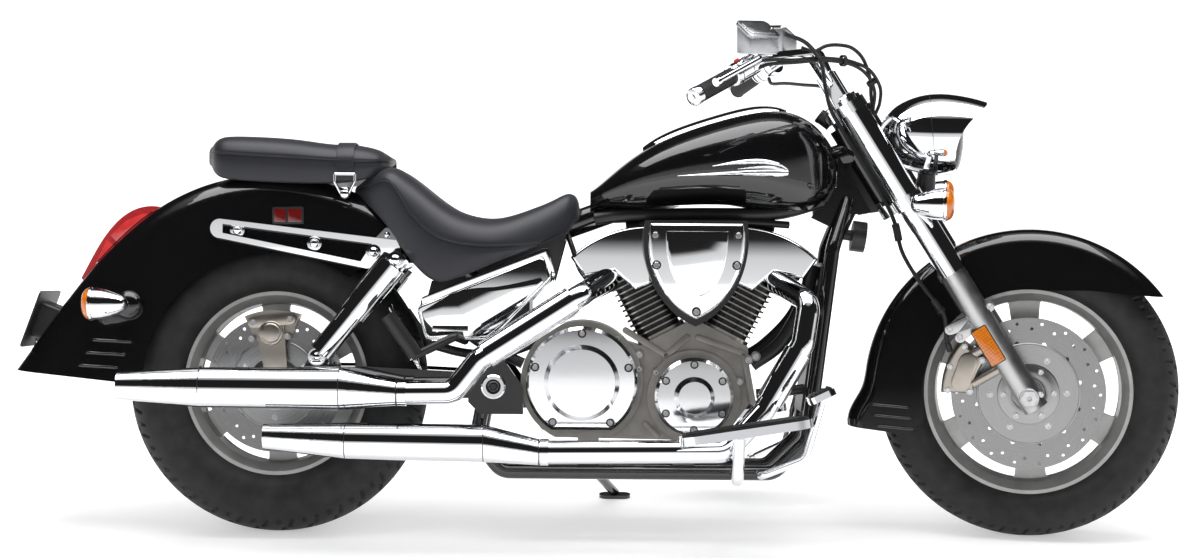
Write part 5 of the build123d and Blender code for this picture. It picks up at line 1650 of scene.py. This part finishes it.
@dataclass
class ForkTrim:
    """Reflectors, fender lugs, the caliper's cover, clamp bolts and the key cylinder, on the fork."""

    leg: float = 0.116
    slider: float = 0.028

    def build(self) -> None:
        """Makes the pieces of both legs, then the right one's caliper."""
        for hand in (-1, 1):
            self.reflector(hand)
        self.lugs()
        self.caliper()
        self.clamps()

    def reflector(self, hand: int) -> None:
        """Makes an amber reflector in its chrome frame on the outside of a leg."""
        name = side_name(hand)
        y = hand * (self.leg + self.slider - 0.003)
        case, lens = Mesh(fork), Mesh(fork)
        put = beside(y, hand)
        case.slab(rounded((-0.0165, 0.1430), (0.037, 0.090), 0.004), -0.016, 0.0045, put)
        lens.slab(rounded((-0.0165, 0.1430), (0.033, 0.086), 0.003), 0.003, 0.0062, put)
        case.make(f"fork_reflector_case_{name}", SATIN_BLACK, Body.STEERING, bevel=0.001)
        lens.make(f"fork_reflector_{name}", AMBER_REFLECTOR, Body.STEERING, bevel=0.001)

    def lugs(self) -> None:
        """Makes the lugs that carry the fender's screws, and the axle's pinch lug."""
        lugs, bolts = Mesh(fork), Mesh(fork)
        for hand in (-1, 1):
            y = hand * (self.leg + 0.004)
            put = beside(y, hand)
            for outer, inner in (
                ((0.029, 0.214), (-0.004, 0.214)), ((-0.070, 0.214), (-0.020, 0.206)),
                ((-0.060, 0.188), (-0.020, 0.200))
            ):
                lugs.slab(pill(inner, outer, 0.015, end_radius=0.0115), -0.010, 0.006, put)
                screw(bolts, (outer[0], y + hand * 0.006, outer[1]), (0, hand, 0), 0.0058, Head.SOCKET)
            lugs.slab(pill((0.0, 0.0), (0.024, -0.006), 0.014, end_radius=0.008), -0.014, 0.014, put)
            screw(bolts, (0.024, y + hand * 0.014, -0.006), (0, hand, 0), 0.0045, Head.HEX)
            lugs.lathe(
                Vector((0, hand * 0.1435, 0)), Vector((0, hand, 0)),
                [(-0.004, 0.0215), (0.0008, 0.0215), (0.0016, 0.0205), (0.0016, 0.0)], 48
            )
        lugs.make("fork_lugs", ALUMINIUM, Body.STEERING, bevel=0.0012)
        bolts.make("fork_lug_screws", STEEL, Body.STEERING)

    def caliper(self) -> None:
        """Makes the blank cover over the front caliper's two pistons, its bolts and its bleed nipple."""
        hub = steered(0.0, 0.0)
        cover, bolts = Mesh(hub), Mesh(hub)
        reach = 0.150
        first, second = (
            (reach * math.cos(math.radians(turn)), reach * math.sin(math.radians(turn)))
            for turn in (151.5, 169.5)
        )
        cover.slab(pill(first, second, 0.0205, 14), -0.003, 0.0045, on_side(-0.1085))
        cover.make("caliper_cover", CALIPER, Body.STEERING, bevel=0.0018)
        for turn, radius in ((143.5, 0.176), (143.5, 0.128), (177, 0.176), (177, 0.128), (160.5, 0.181)):
            place = (radius * math.cos(math.radians(turn)), -0.104, radius * math.sin(math.radians(turn)))
            screw(bolts, place, (0, -1, 0), 0.0055, Head.HEX)
        bolts.make("caliper_bolts", STEEL, Body.STEERING)

    def clamps(self) -> None:
        """Makes the caps of the legs, the stem's nut, the handlebar's screws and the key cylinder."""
        caps = Mesh(fork)
        for hand in (-1, 1):
            screw(caps, (0, hand * self.leg, 0.763), (0, 0, 1), 0.013, Head.HEX)
            for ahead in (-0.030, -0.004):
                screw(caps, (ahead, hand * 0.056, 0.831), (0, 0, 1), 0.0048, Head.SOCKET)
        screw(caps, (-0.0466, 0, 0.753), (0, 0, 1), 0.017, Head.HEX)
        caps.make("clamp_bolts", CHROME, Body.STEERING)
        key = Mesh(fork)
        axis = Vector((-0.35, 0, 0.94))
        key.lathe(
            Vector((-0.064, -0.006, 0.732)), axis,
            [(0.0, 0.015), (0.024, 0.015), (0.026, 0.0165), (0.034, 0.0165), (0.035, 0.015), (0.035, 0.0)],
            32
        )
        key.make("key_cylinder", SATIN_BLACK, Body.STEERING)


@dataclass
class Headlamp:
    """The headlight's glass, its chrome rim and the seam between its bucket and its visor."""

    radius: float = 0.091
    shell: Tuple[Row, ...] = (
        (-0.123, 0.002), (-0.118, 0.022), (-0.105, 0.043), (-0.086, 0.062), (-0.060, 0.0765), (
            -0.030, 0.0865
        ), (0.0, 0.0905),
        (0.030, 0.0900), (0.065, 0.0850), (0.090, 0.0795), (0.114, 0.0725),
    )
    brow: Tuple[Row, ...] = (
        (-0.095, 0.041), (-0.060, 0.044), (-0.015, 0.052), (0.010, 0.063), (0.030, 0.077), (0.067, 0.1135)
    )
    wall: float = 0.003

    def brow_at(self, angle: float) -> float:
        """How far ahead the visor's edge lies at an angle from its top."""
        reach = 0.06
        for _ in range(24):
            radius = between(self.shell, reach)[0]
            reach = 0.5 * (reach + between(self.brow, radius * math.cos(angle))[0])
        return reach

    def visor(self, lamp: Axes) -> None:
        """Makes the bucket with its peaked visor, and replaces the plain one."""
        mesh = Mesh(lamp)
        angles = [2 * math.pi * step / 96 for step in range(96)]
        edges = [self.brow_at(angle) for angle in angles]
        rings = []
        for step in range(15):
            x = -0.123 + 0.153 * (step / 14) ** 1.6
            radius = between(self.shell, x)[0]
            points = [Vector((x, radius * math.sin(angle), radius * math.cos(angle))) for angle in angles]
            rings.append(mesh.ring(points))
        for inset, shares in (
            (0.0, (0.2, 0.4, 0.6, 0.8, 0.96, 1.0)), (self.wall, (1.0, 0.96, 0.7, 0.35, 0.0))
        ):
            for share in shares:
                ring = []
                for angle, edge in zip(angles, edges):
                    x = 0.030 + (edge - 0.030) * share + (0.0006 if inset == 0 and share == 1.0 else 0.0)
                    radius = between(self.shell, x)[0] - inset
                    ring.append(Vector((x, radius * math.sin(angle), radius * math.cos(angle))))
                rings.append(mesh.ring(ring))
        mesh.skin(rings)
        mesh.cap(rings[0], flip=True)
        mesh.cap(rings[-1])
        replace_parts(mesh.make("headlight_shell", CHROME, Body.STEERING, sharp=50), "headlight")

    def build(self) -> None:
        """Makes the shell, the glass in front of the bowl and the seam round the bucket."""
        lamp = steered(0.119, 0.593)
        self.visor(lamp)
        glass = Mesh(lamp)
        dome = [(0.030, 0.0855)]
        for step in range(12):
            angle = math.pi / 2 * step / 12
            dome.append((0.040 + 0.026 * math.sin(angle), 0.0855 * math.cos(angle) ** 0.8))
        dome.append((0.066, 0.0))
        glass.lathe(Vector((0, 0, 0)), Vector((1, 0, 0)), dome, 64)
        glass.make("headlight_glass", CLEAR_GLASS, Body.STEERING)
        rim = Mesh(lamp)
        rim.lathe(
            Vector((0, 0, 0)), Vector((1, 0, 0)),
            [(0.036, 0.0835), (0.036, 0.0872), (0.045, 0.0872), (0.048, 0.0855), (0.045, 0.0835)], 64,
            closed=True
        )
        rim.make("headlight_rim", CHROME, Body.STEERING)
        seam = Mesh(lamp)
        ring = [
            (-0.003, self.radius - 0.002), (-0.003, self.radius + 0.0002), (-0.0018, self.radius + 0.0002),
            (-0.0018, self.radius - 0.002)
        ]
        seam.lathe(Vector((0, 0, 0)), Vector((1, 0, 0.10)), ring, 96, closed=True)
        seam.make("headlight_seam", SATIN_BLACK, Body.STEERING)


@dataclass
class BarTrim:
    """The handlebar's grip ribs, rings and caps, its reservoirs, seams and red stop switch."""

    height: float = 0.926
    inner: Tuple[float, float] = (-0.165, 0.352)
    outer: Tuple[float, float] = (-0.245, 0.462)

    def build(self) -> None:
        """Makes both sides' parts."""
        for hand in (-1, 1):
            name = side_name(hand)
            self.grip(name, hand)
            self.reservoir(name, hand)
            self.housing(name, hand)

    def grip(self, name: str, hand: int) -> None:
        """Makes a grip's end cap, its inner flange and its fine ribs."""
        inner = Vector((self.inner[0], hand * self.inner[1], self.height))
        outer = Vector((self.outer[0], hand * self.outer[1], self.height))
        axis = (outer - inner).normalized()
        length = (outer - inner).length
        cap = Mesh(fork)
        cap.lathe(
            outer, axis,
            [
                (-0.010, 0.0172), (-0.010, 0.0190), (0.004, 0.0190), (0.0065, 0.0178), (0.009, 0.0125),
                (0.0095, 0.0085), (0.0085, 0.0065), (0.0085, 0.0)
            ],
            48
        )
        cap.lathe(
            inner, axis,
            [
                (-0.001, 0.017), (-0.001, 0.0225), (0.003, 0.0225), (0.004, 0.0185), (0.007, 0.0185),
                (0.007, 0.017)
            ],
            48, closed=True
        )
        cap.make(f"grip_rings_{name}", CHROME, Body.STEERING)
        ribs = Mesh(fork)
        for index in range(44):
            angle = 2 * math.pi * index / 44
            normal = axis.orthogonal().normalized()
            other = axis.cross(normal)
            out = (normal * math.cos(angle) + other * math.sin(angle)) * 0.0174
            ribs.tube([inner + axis * 0.012 + out, outer - axis * 0.014 + out], 0.0007, 6)
        ribs.make(f"grip_ribs_{name}", GRIP_RUBBER, Body.STEERING)
        log.info("grip %s is %.3f m long", name, length)

    def reservoir(self, name: str, hand: int) -> None:
        """Makes a reservoir's satin shell, the sloped lid on it and the lid's screws."""
        axes = steered(-0.100, 0.938)
        along = Vector((0.6, -0.75 * hand, 0)).normalized()
        out = Vector((0.75, 0.6 * hand, 0)).normalized()
        middle = Vector((0, hand * 0.318, 0))
        slope = math.radians(36)
        down = out * math.cos(slope) - Vector((0, 0, 1)) * math.sin(slope)
        above = out * math.sin(slope) + Vector((0, 0, 1)) * math.cos(slope)
        ridge = middle + Vector((0, 0, 0.0505))
        body, lid, screws = Mesh(axes), Mesh(axes), Mesh(axes)
        shell = [(-0.0212, 0.002), (0.0212, 0.002), (0.0212, 0.0350), (-0.0212, 0.0660)]
        body.slab(
            shell, -0.0428, 0.0428, lambda v, height,
            u: middle + along * u + out * v + Vector((0, 0, height))
        )

        def put(u: float, v: float, height: float) -> Vector:
            return ridge + along * u + down * v + above * height

        lid.slab(rounded((0, 0), (0.094, 0.0580), 0.012), -0.0035, 0.0045, put)
        lid.slab(rounded((0, 0), (0.078, 0.0420), 0.009), 0.0040, 0.0058, put)
        for u in (-0.040, 0.040):
            screw(screws, tuple(put(u, 0, 0.0044)), tuple(above), 0.0032, Head.DOME)
        body.make(f"reservoir_{name}", RESERVOIR, Body.STEERING, bevel=0.003)
        lid.make(f"reservoir_lid_{name}", RESERVOIR, Body.STEERING, bevel=0.0018)
        screws.make(f"reservoir_screws_{name}", STEEL, Body.STEERING)

    def housing(self, name: str, hand: int) -> None:
        """Makes a switch housing's seams and its rocker."""
        start = Vector((-0.118, hand * 0.314, self.height))
        end = Vector((self.inner[0], hand * self.inner[1], self.height))
        axis = (end - start).normalized()
        length = (end - start).length
        band = Mesh(fork)
        for along in (0.30 * length, 0.80 * length):
            band.lathe(
                start + axis * along, axis,
                [(-0.0008, 0.022), (-0.0008, 0.0234), (0.0008, 0.0234), (0.0008, 0.022)], 48, closed=True
            )
        band.make(f"housing_seams_{name}", SATIN_BLACK, Body.STEERING)
        rocker = Mesh(fork)
        place = start + axis * (0.55 * length)
        rocker.lathe(
            place + Vector((0, 0, 0.021)), Vector((0, 0, 1)),
            [(-0.002, 0.0065), (0.004, 0.0062), (0.006, 0.0045), (0.006, 0.0)], 24
        )
        rocker.make(f"rocker_{name}", STOP_RED if hand < 0 else GRIP_RUBBER, Body.STEERING)


@dataclass
class FootTrim:
    """Ribbed rubbers on the floorboards and the pedal."""

    rows: int = 9

    def build(self) -> None:
        """Makes the rubbers of both boards and of the brake pedal."""
        for hand in (-1, 1):
            ahead = (machine.ahead * 0.988 + machine.up * 0.155).normalized()
            up = (machine.up * 0.988 - machine.ahead * 0.155).normalized()
            board = Axes(machine.at(1.022, hand * 0.320, 0.249), ahead, machine.left, up)
            name = side_name(hand)
            pad = Mesh(board)
            pad.slab(rounded((0, 0), (0.268, 0.096), 0.034), 0.008, 0.0125, flat)
            for row in range(self.rows):
                reach = (row - (self.rows - 1) / 2) * 0.0098
                wide = 0.250 - 0.040 * (abs(reach) > 0.030)
                pad.slab(rounded((0, reach), (wide, 0.0048), 0.0022), 0.0115, 0.0152, flat)
            pad.make(f"board_rubber_{name}", GRIP_RUBBER, Body.CHASSIS, bevel=0.0008)
        slope = Axes(machine.at(1.184, -0.300, 0.318), (machine.ahead * 0.9 + machine.up * 0.43).normalized(),
                     machine.left, (machine.up * 0.9 - machine.ahead * 0.43).normalized())
        pedal = Mesh(slope)
        pedal.slab(rounded((0, 0), (0.052, 0.068), 0.010), 0.0130, 0.0165, flat)
        for row in range(5):
            pedal.slab(rounded(((row - 2) * 0.0100, 0), (0.0048, 0.056), 0.002), 0.0160, 0.0192, flat)
        pedal.make("pedal_rubber", GRIP_RUBBER, Body.CHASSIS, bevel=0.0007)


@dataclass
class Plumbing:
    """The black hoses, leads and small tubes that show between the engine, the tank and the frame."""

    runs: Tuple[Tuple[float, Tuple[Point, ...]], ...] = (
        (
            0.014,
            (
                (1.205, -0.050, 0.742), (1.10, -0.055, 0.716), (0.92, -0.058, 0.712), (0.76, -0.055, 0.708),
                (0.70, -0.055, 0.700)
            )
        ),
        (
            0.014,
            (
                (1.205, 0.050, 0.742), (1.10, 0.055, 0.716), (0.92, 0.058, 0.712), (0.76, 0.055, 0.708),
                (0.70, 0.055, 0.700)
            )
        ),
        (0.015, ((1.10, -0.020, 0.690), (0.92, -0.020, 0.698), (0.77, -0.020, 0.682))),
        (
            0.008,
            ((1.13, -0.045, 0.690), (1.05, -0.062, 0.694), (0.92, -0.066, 0.694), (0.80, -0.060, 0.688))
        ),
        (
            0.016,
            ((1.185, -0.030, 0.600), (1.165, -0.040, 0.520), (1.115, -0.045, 0.430), (1.050, -0.045, 0.380))
        ),
        (0.015, ((1.185, 0.030, 0.560), (1.140, 0.020, 0.480), (1.080, 0.010, 0.420), (1.030, 0.0, 0.390))),
        (0.011, ((1.180, -0.060, 0.330), (1.120, -0.062, 0.322), (1.060, -0.062, 0.316))),
        (
            0.010,
            (
                (0.345, -0.095, 0.420), (0.420, -0.092, 0.402), (0.500, -0.090, 0.402),
                (0.570, -0.086, 0.425), (0.620, -0.080, 0.450)
            )
        ),
        (0.012, ((0.400, -0.085, 0.462), (0.460, -0.086, 0.420), (0.545, -0.086, 0.380))),
        (
            0.006,
            ((0.630, -0.040, 0.690), (0.650, -0.070, 0.640), (0.668, -0.070, 0.590), (0.690, -0.055, 0.560))
        ),
    )

    def build(self) -> None:
        """Makes every run along a smooth curve through its points."""
        mesh = Mesh(machine)
        for radius, points in self.runs:
            mesh.tube(smooth_path(points, 8), radius, 16)
        mesh.make("hoses_and_leads", SATIN_BLACK, Body.CHASSIS)


@dataclass
class Cables:
    """The hose and cables of the handlebar, each given as (ahead, left, along) in the fork's own axes."""

    hose: Tuple[Point, ...] = (
        (-0.030, -0.300, 0.945), (-0.003, -0.280, 0.905), (-0.001, -0.220, 0.856), (-0.024, -0.140, 0.808),
        (-0.042, -0.090, 0.761), (-0.045, -0.075, 0.716), (-0.046, -0.078, 0.640), (-0.046, -0.078, 0.570),
        (-0.047, -0.082, 0.520), (-0.053, -0.095, 0.472), (-0.071, -0.110, 0.412), (-0.072, -0.120, 0.340),
        (-0.066, -0.124, 0.279), (-0.066, -0.120, 0.244), (-0.087, -0.115, 0.201), (-0.095, -0.105, 0.172),
    )
    cables: Tuple[Tuple[float, Tuple[Point, ...]], ...] = (
        (0.0040, (
            (-0.020, -0.210, 0.905), (
                -0.002, -0.200, 0.885
            ), (0.026, -0.190, 0.881), (0.049, -0.170, 0.869),
            (0.069, -0.150, 0.849), (0.076, -0.120, 0.817), (0.066, -0.090, 0.774), (0.048, -0.080, 0.740),
            (0.030, -0.074, 0.700),
        )),
        (0.0038, (
            (-0.110, -0.335, 0.925), (-0.084, -0.325, 0.915), (-0.044, -0.280, 0.889), (
                -0.004, -0.230, 0.869
            ),
            (0.033, -0.190, 0.843), (0.057, -0.160, 0.820), (0.076, -0.130, 0.788), (0.075, -0.100, 0.746),
            (0.056, -0.080, 0.717), (0.035, -0.070, 0.701),
        )),
        (0.0038, (
            (-0.112, -0.330, 0.912), (-0.087, -0.322, 0.906), (
                -0.046, -0.280, 0.884
            ), (0.009, -0.220, 0.855),
            (0.051, -0.170, 0.818), (0.066, -0.130, 0.781), (0.060, -0.100, 0.744), (0.036, -0.080, 0.712),
        )),
        (0.0040, (
            (-0.150, 0.320, 0.905), (-0.149, 0.300, 0.890), (-0.118, 0.240, 0.872), (-0.080, 0.165, 0.845),
            (-0.040, 0.100, 0.815), (-0.016, 0.060, 0.775), (-0.012, 0.045, 0.750),
        )),
        (0.0085, (
            (-0.030, -0.060, 0.705), (-0.040, -0.062, 0.660), (-0.042, -0.064, 0.600), (
                -0.040, -0.066, 0.540
            ),
            (-0.036, -0.070, 0.512),
        )),
    )

    def build(self) -> None:
        """Makes the runs, the hose's sleeves and the ties, in place of the plain run."""
        mesh = Mesh(fork)
        mesh.tube(smooth_path(self.hose, 10), 0.0045, 14)
        for radius, points in self.cables:
            mesh.tube(smooth_path(points, 10), radius, 12)
        path = smooth_path(self.hose, 10)
        for first, last, radius in (
            (90, 96, 0.0085), (118, 124, 0.0075), (124, 126, 0.0095), (143, 150, 0.0065)
        ):
            mesh.tube(path[first:last + 1], radius, 16)
        for middle, axis in (
            ((0.040, -0.183, 0.835), (0.6, 0.5, -0.4)), ((0.066, -0.110, 0.764), (0.0, 0.3, -0.9))
        ):
            mesh.lathe(
                Vector(middle), Vector(axis),
                [(-0.004, 0.0105), (-0.004, 0.0125), (0.004, 0.0125), (0.004, 0.0105)], 20, closed=True
            )
        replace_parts(mesh.make("bar_cables", GRIP_RUBBER, Body.STEERING), "control_cables")


@dataclass
class CoverScrews:
    """The engine covers' screws, each with a dark ring of painted shade round its head, and the air cover's
    raised panel.
    """

    rings: Tuple[Tuple[Tuple[float, float], float, int, float], ...] = (
        ((0.675, 0.341), 0.107, 5, 0.1335), ((0.920, 0.311), 0.071, 6, 0.1335),
    )
    corners: Tuple[Tuple[float, float], ...] = (
        (-0.089, 0.662), (0.089, 0.662), (-0.086, 0.598), (0.086, 0.598), (0.0, 0.498)
    )

    def build(self) -> None:
        """Makes the panel, then every screw and the dark ring of painted shade under its head."""
        panel = Mesh(machine)
        right = [
            (0.986, 0.671), (0.9855, 0.645), (0.9835, 0.620), (0.980, 0.600), (0.971, 0.575),
            (0.957, 0.553), (0.941, 0.539), (0.920, 0.5305)
        ]
        left = [(1.840 - x, z) for x, z in reversed(right[:-1])]
        panel.slab(right + left, -0.012, 0.0012, on_side(-0.230))
        panel.make("air_panel", AIR_PANEL, Body.CHASSIS, bevel=0.003, sharp=25)
        heads, shade_rings = Mesh(machine), Mesh(machine)
        for (x, z), radius, count, face in self.rings:
            for index in range(count):
                angle = math.pi / 2 + 2 * math.pi * index / count
                self.screw(
                    heads, shade_rings, x + radius * math.cos(angle), face, z + radius * math.sin(angle), 0.0064
                )
        for across, z in self.corners:
            self.screw(heads, shade_rings, 0.920 + across, 0.2190, z, 0.0066)
        heads.make("cover_screws", STEEL, Body.CHASSIS)
        shade_rings.make("cover_screw_shade_rings", SATIN_BLACK, Body.CHASSIS)

    @staticmethod
    def screw(heads: Mesh, shade_rings: Mesh, x: float, face: float, z: float, radius: float) -> None:
        """Adds one screw's head and the dark ring of painted shade under it."""
        # Satin black disc behind the head: painted shade round the screw.
        shade_rings.lathe(
            Vector((x, -face, z)), Vector((0, -1, 0)),
            [(-0.006, 1.5 * radius), (0.0006, 1.5 * radius), (0.0008, 1.3 * radius), (0.0008, 0.0)], 24
        )
        head = [
            (0.0, 1.0), (0.0042 / radius, 1.0), (0.0052 / radius, 0.86), (0.0052 / radius, 0.45),
            (0.0030 / radius, 0.42), (0.0030 / radius, 0.0)
        ]
        heads.lathe(
            Vector((x, -face, z)), Vector((0, -1, 0)),
            [(along * radius, reach * radius) for along, reach in head], 24
        )


@dataclass
class UnderSeat:
    """Dark slabs under the rider's seat, partly its frame rails and partly painted shade, the side covers'
    upper lips and the plate under the neck.
    """

    rail_and_shade: Tuple[Tuple[float, float], ...] = (
        (0.330, 0.500), (0.590, 0.606), (0.612, 0.560), (0.640, 0.668), (0.593, 0.648), (0.495, 0.612),
        (0.437, 0.590), (0.395, 0.575), (0.345, 0.560),
    )
    lip: Tuple[Tuple[float, float], ...] = (
        (0.322, 0.502), (0.588, 0.614), (0.602, 0.566), (0.616, 0.572), (0.600, 0.634), (0.585, 0.632),
        (0.440, 0.572), (0.385, 0.549), (0.325, 0.524),
    )
    neck: Tuple[Tuple[float, float], ...] = ((1.254, 0.817), (1.285, 0.831), (1.346, 0.724), (1.288, 0.714))
    rail_and_shade_side: float = 0.118
    lip_side: float = 0.143
    neck_side: float = -0.006

    def build(self) -> None:
        """Makes both sides' rails with their painted shade, and lips, and the neck's plate."""
        for hand in (-1, 1):
            name = side_name(hand)
            # Satin black slab between the seat and the side cover: partly the frame rail, partly painted
            # shade under the seat.
            rail_and_shade = Mesh(machine)
            rail_and_shade.slab(list(self.rail_and_shade), -0.010, 0.0, on_side(hand * self.rail_and_shade_side))
            rail_and_shade.make(f"seat_rail_{name}", SATIN_BLACK, Body.CHASSIS, bevel=0.002)
            lip = Mesh(machine)
            lip.slab(list(self.lip), -0.016, 0.0, on_side(hand * self.lip_side))
            lip.make(f"side_lip_{name}", STRUT_PANEL, Body.CHASSIS, bevel=0.004)
        plate = Mesh(machine)
        plate.slab(list(self.neck), -0.004, 0.004, on_side(self.neck_side))
        plate.make("neck_plate", SATIN_BLACK, Body.CHASSIS, bevel=0.001)


@dataclass
class FenderRibs:
    """The three pressed ribs low on each flank of both fenders, rounded so that their tops shine."""

    radius: float = 0.0036

    def build(self) -> None:
        """Makes the rear fender's ribs, then the front one's."""
        rear, front = Mesh(machine), Mesh(steered(0.0, 0.0))
        for hand in (-1, 1):
            for x, z in ((-0.354, 0.423), (-0.368, 0.395), (-0.384, 0.367)):
                rear.tube(self.rib(x, z, hand * 0.1072, 0.046, -3.0), self.radius, 12)
            for row in range(3):
                front.tube(
                    self.rib(-0.301 + 0.006 * row, -0.032 - 0.024 * row, hand * 0.0862, 0.043, -4.0),
                    self.radius, 12
                )
        rear.make("rear_fender_ribs", FENDER_BLACK, Body.CHASSIS)
        front.make("front_fender_ribs", FRONT_BLACK, Body.STEERING)

    @staticmethod
    def rib(x: float, z: float, y: float, half: float, turn: float) -> List[Vector]:
        """A rib's line, sunk into the flank at its ends."""
        rise = math.tan(math.radians(turn))
        inward = -1 if y > 0 else 1
        return [
            Vector((x + along, y + inward * (0.0052 if abs(along) == half else 0.0), z + along * rise))
            for along in (-half, -half + 0.010, -half / 2, 0.0, half / 2, half - 0.010, half)
        ]


@dataclass
class RearCaliper:
    """What covers the rear caliper: its blank round piston cap, its bridge and its bolts."""

    centre: Tuple[float, float] = (-0.006, 0.443)
    face: float = 0.1085

    def build(self) -> None:
        """Makes the cap and the bolts."""
        x, z = self.centre
        cap = Mesh(machine)
        profile = [
            (-0.004, 0.0270), (0.004, 0.0270), (0.006, 0.0255), (0.0065, 0.0215), (0.0085, 0.0205),
            (0.0095, 0.0180), (0.0095, 0.0)
        ]
        cap.lathe(Vector((x, -self.face, z)), Vector((0, -1, 0)), profile, 48)
        cap.slab(pill((-0.045, 0.466), (0.036, 0.474), 0.012), -0.004, 0.0045, on_side(-self.face))
        cap.make("rear_caliper_cap", CALIPER, Body.CHASSIS, bevel=0.0012)
        bolts = Mesh(machine)
        for place in ((-0.045, 0.466), (0.036, 0.474), (-0.048, 0.430), (0.030, 0.436)):
            screw(bolts, (place[0], -self.face - 0.0042, place[1]), (0, -1, 0), 0.0052, Head.HEX)
        bolts.make("rear_caliper_bolts", STEEL, Body.CHASSIS)


@dataclass
class EngineDetail:
    """The crankcase's cast ribs, and its lugs with their screws."""

    face: float = 0.0925
    lugs: Tuple[Tuple[float, float], ...] = (
        (0.752, 0.437), (0.800, 0.402), (0.800, 0.370), (0.838, 0.362), (1.020, 0.344), (1.040, 0.392),
        (1.056, 0.400)
    )

    def build(self) -> None:
        """Makes the cast ribs and the lugs with their screws."""
        cast, bolts = Mesh(machine), Mesh(machine)
        for ends, radius in (
            (((0.770, 0.455), (0.860, 0.400)), 0.007), (((0.860, 0.400), (0.905, 0.440)), 0.007), (
                ((0.860, 0.400), (0.845, 0.300)), 0.007
            ),
            (((0.930, 0.440), (1.030, 0.405)), 0.007), (((1.030, 0.405), (1.050, 0.300)), 0.007), (
                ((0.815, 0.250), (0.840, 0.225)), 0.006
            ),
        ):
            cast.slab(pill(*ends, radius), -0.006, 0.006, on_side(-self.face))
        for x, z in self.lugs:
            cast.slab(pill((x, z), (x, z + 0.0005), 0.0105), -0.006, 0.0095, on_side(-self.face))
            screw(bolts, (x, -self.face - 0.0093, z), (0, -1, 0), 0.0052, Head.SOCKET)
        cast.make("case_ribs", ENGINE_GREY, Body.CHASSIS, bevel=0.0018)
        bolts.make("case_screws", STEEL, Body.CHASSIS)


def main() -> None:
    """Builds the studio and every sub-assembly in order."""
    logging.basicConfig(level=logging.INFO, format="%(message)s")
    bpy.context.scene.view_settings.view_transform = "Standard"
    rider_seat = Seat(
        "rider_seat", "seat_rider",
        (
            (0.178, 0.744, 0.758, 0.772, 0.070), (0.205, 0.722, 0.766, 0.792, 0.104),
            (0.254, 0.668, 0.776, 0.812, 0.140), (0.299, 0.604, 0.708, 0.790, 0.158),
            (0.350, 0.556, 0.660, 0.750, 0.170), (0.390, 0.560, 0.645, 0.722, 0.172),
            (0.437, 0.578, 0.638, 0.704, 0.168), (0.495, 0.604, 0.637, 0.701, 0.150),
            (0.593, 0.638, 0.645, 0.735, 0.112), (0.640, 0.664, 0.668, 0.758, 0.084), (
                0.655, 0.690, 0.695, 0.754, 0.062
            ),
        ),
        arch=0.01, hollow=True, fill=0.85,
    )
    pillion = Seat(
        "passenger_seat", "seat_pillion",
        (
            (-0.146, 0.808, 0.838, 0.856, 0.072), (-0.136, 0.792, 0.838, 0.868, 0.094),
            (-0.116, 0.780, 0.836, 0.876, 0.110), (-0.040, 0.773, 0.831, 0.876, 0.123),
            (0.040, 0.770, 0.827, 0.871, 0.129), (0.118, 0.770, 0.823, 0.861, 0.130),
            (0.183, 0.776, 0.820, 0.858, 0.124), (0.226, 0.792, 0.821, 0.848, 0.104), (
                0.243, 0.806, 0.822, 0.836, 0.078
            ),
        ),
        arch=0.012, hollow=False,
    )
    rear_wheel = machine.moved(0, 0, REAR_AXLE_HEIGHT)
    for part in (
        Studio(), Bodywork(), rider_seat, pillion, SeatStrap(pillion),
        Tyre("rear_road_tyre", "rear_tyre", Body.REAR_WHEEL, rear_wheel, 0.331, 0.172, 0.203, 34),
        Tyre("front_road_tyre", "front_tyre", Body.FRONT_WHEEL, fork, 0.329, 0.142, 0.228, 38),
        Indicators(),
        WheelTrim(
            "front", Body.FRONT_WHEEL, fork, 0.072, 0.113, 0.067, ((0.054, 6, 0.0048), (0.083, 6, 0.0014))
        ),
        WheelTrim(
            "rear", Body.REAR_WHEEL, rear_wheel, 0.078, 0.097, 0.058,
            ((0.047, 5, 0.0048), (0.074, 6, 0.0014))
        ),
        TankSpear(), TailTrim(), ChassisBolts(), CoverTrim(), ForkTrim(), Headlamp(), BarTrim(), FootTrim(),
        Plumbing(), Cables(), CoverScrews(), UnderSeat(), FenderRibs(), RearCaliper(), EngineDetail(),
    ):
        log.info("building %s", type(part).__name__)
        part.build()


if __name__ == "__main__":
    main()
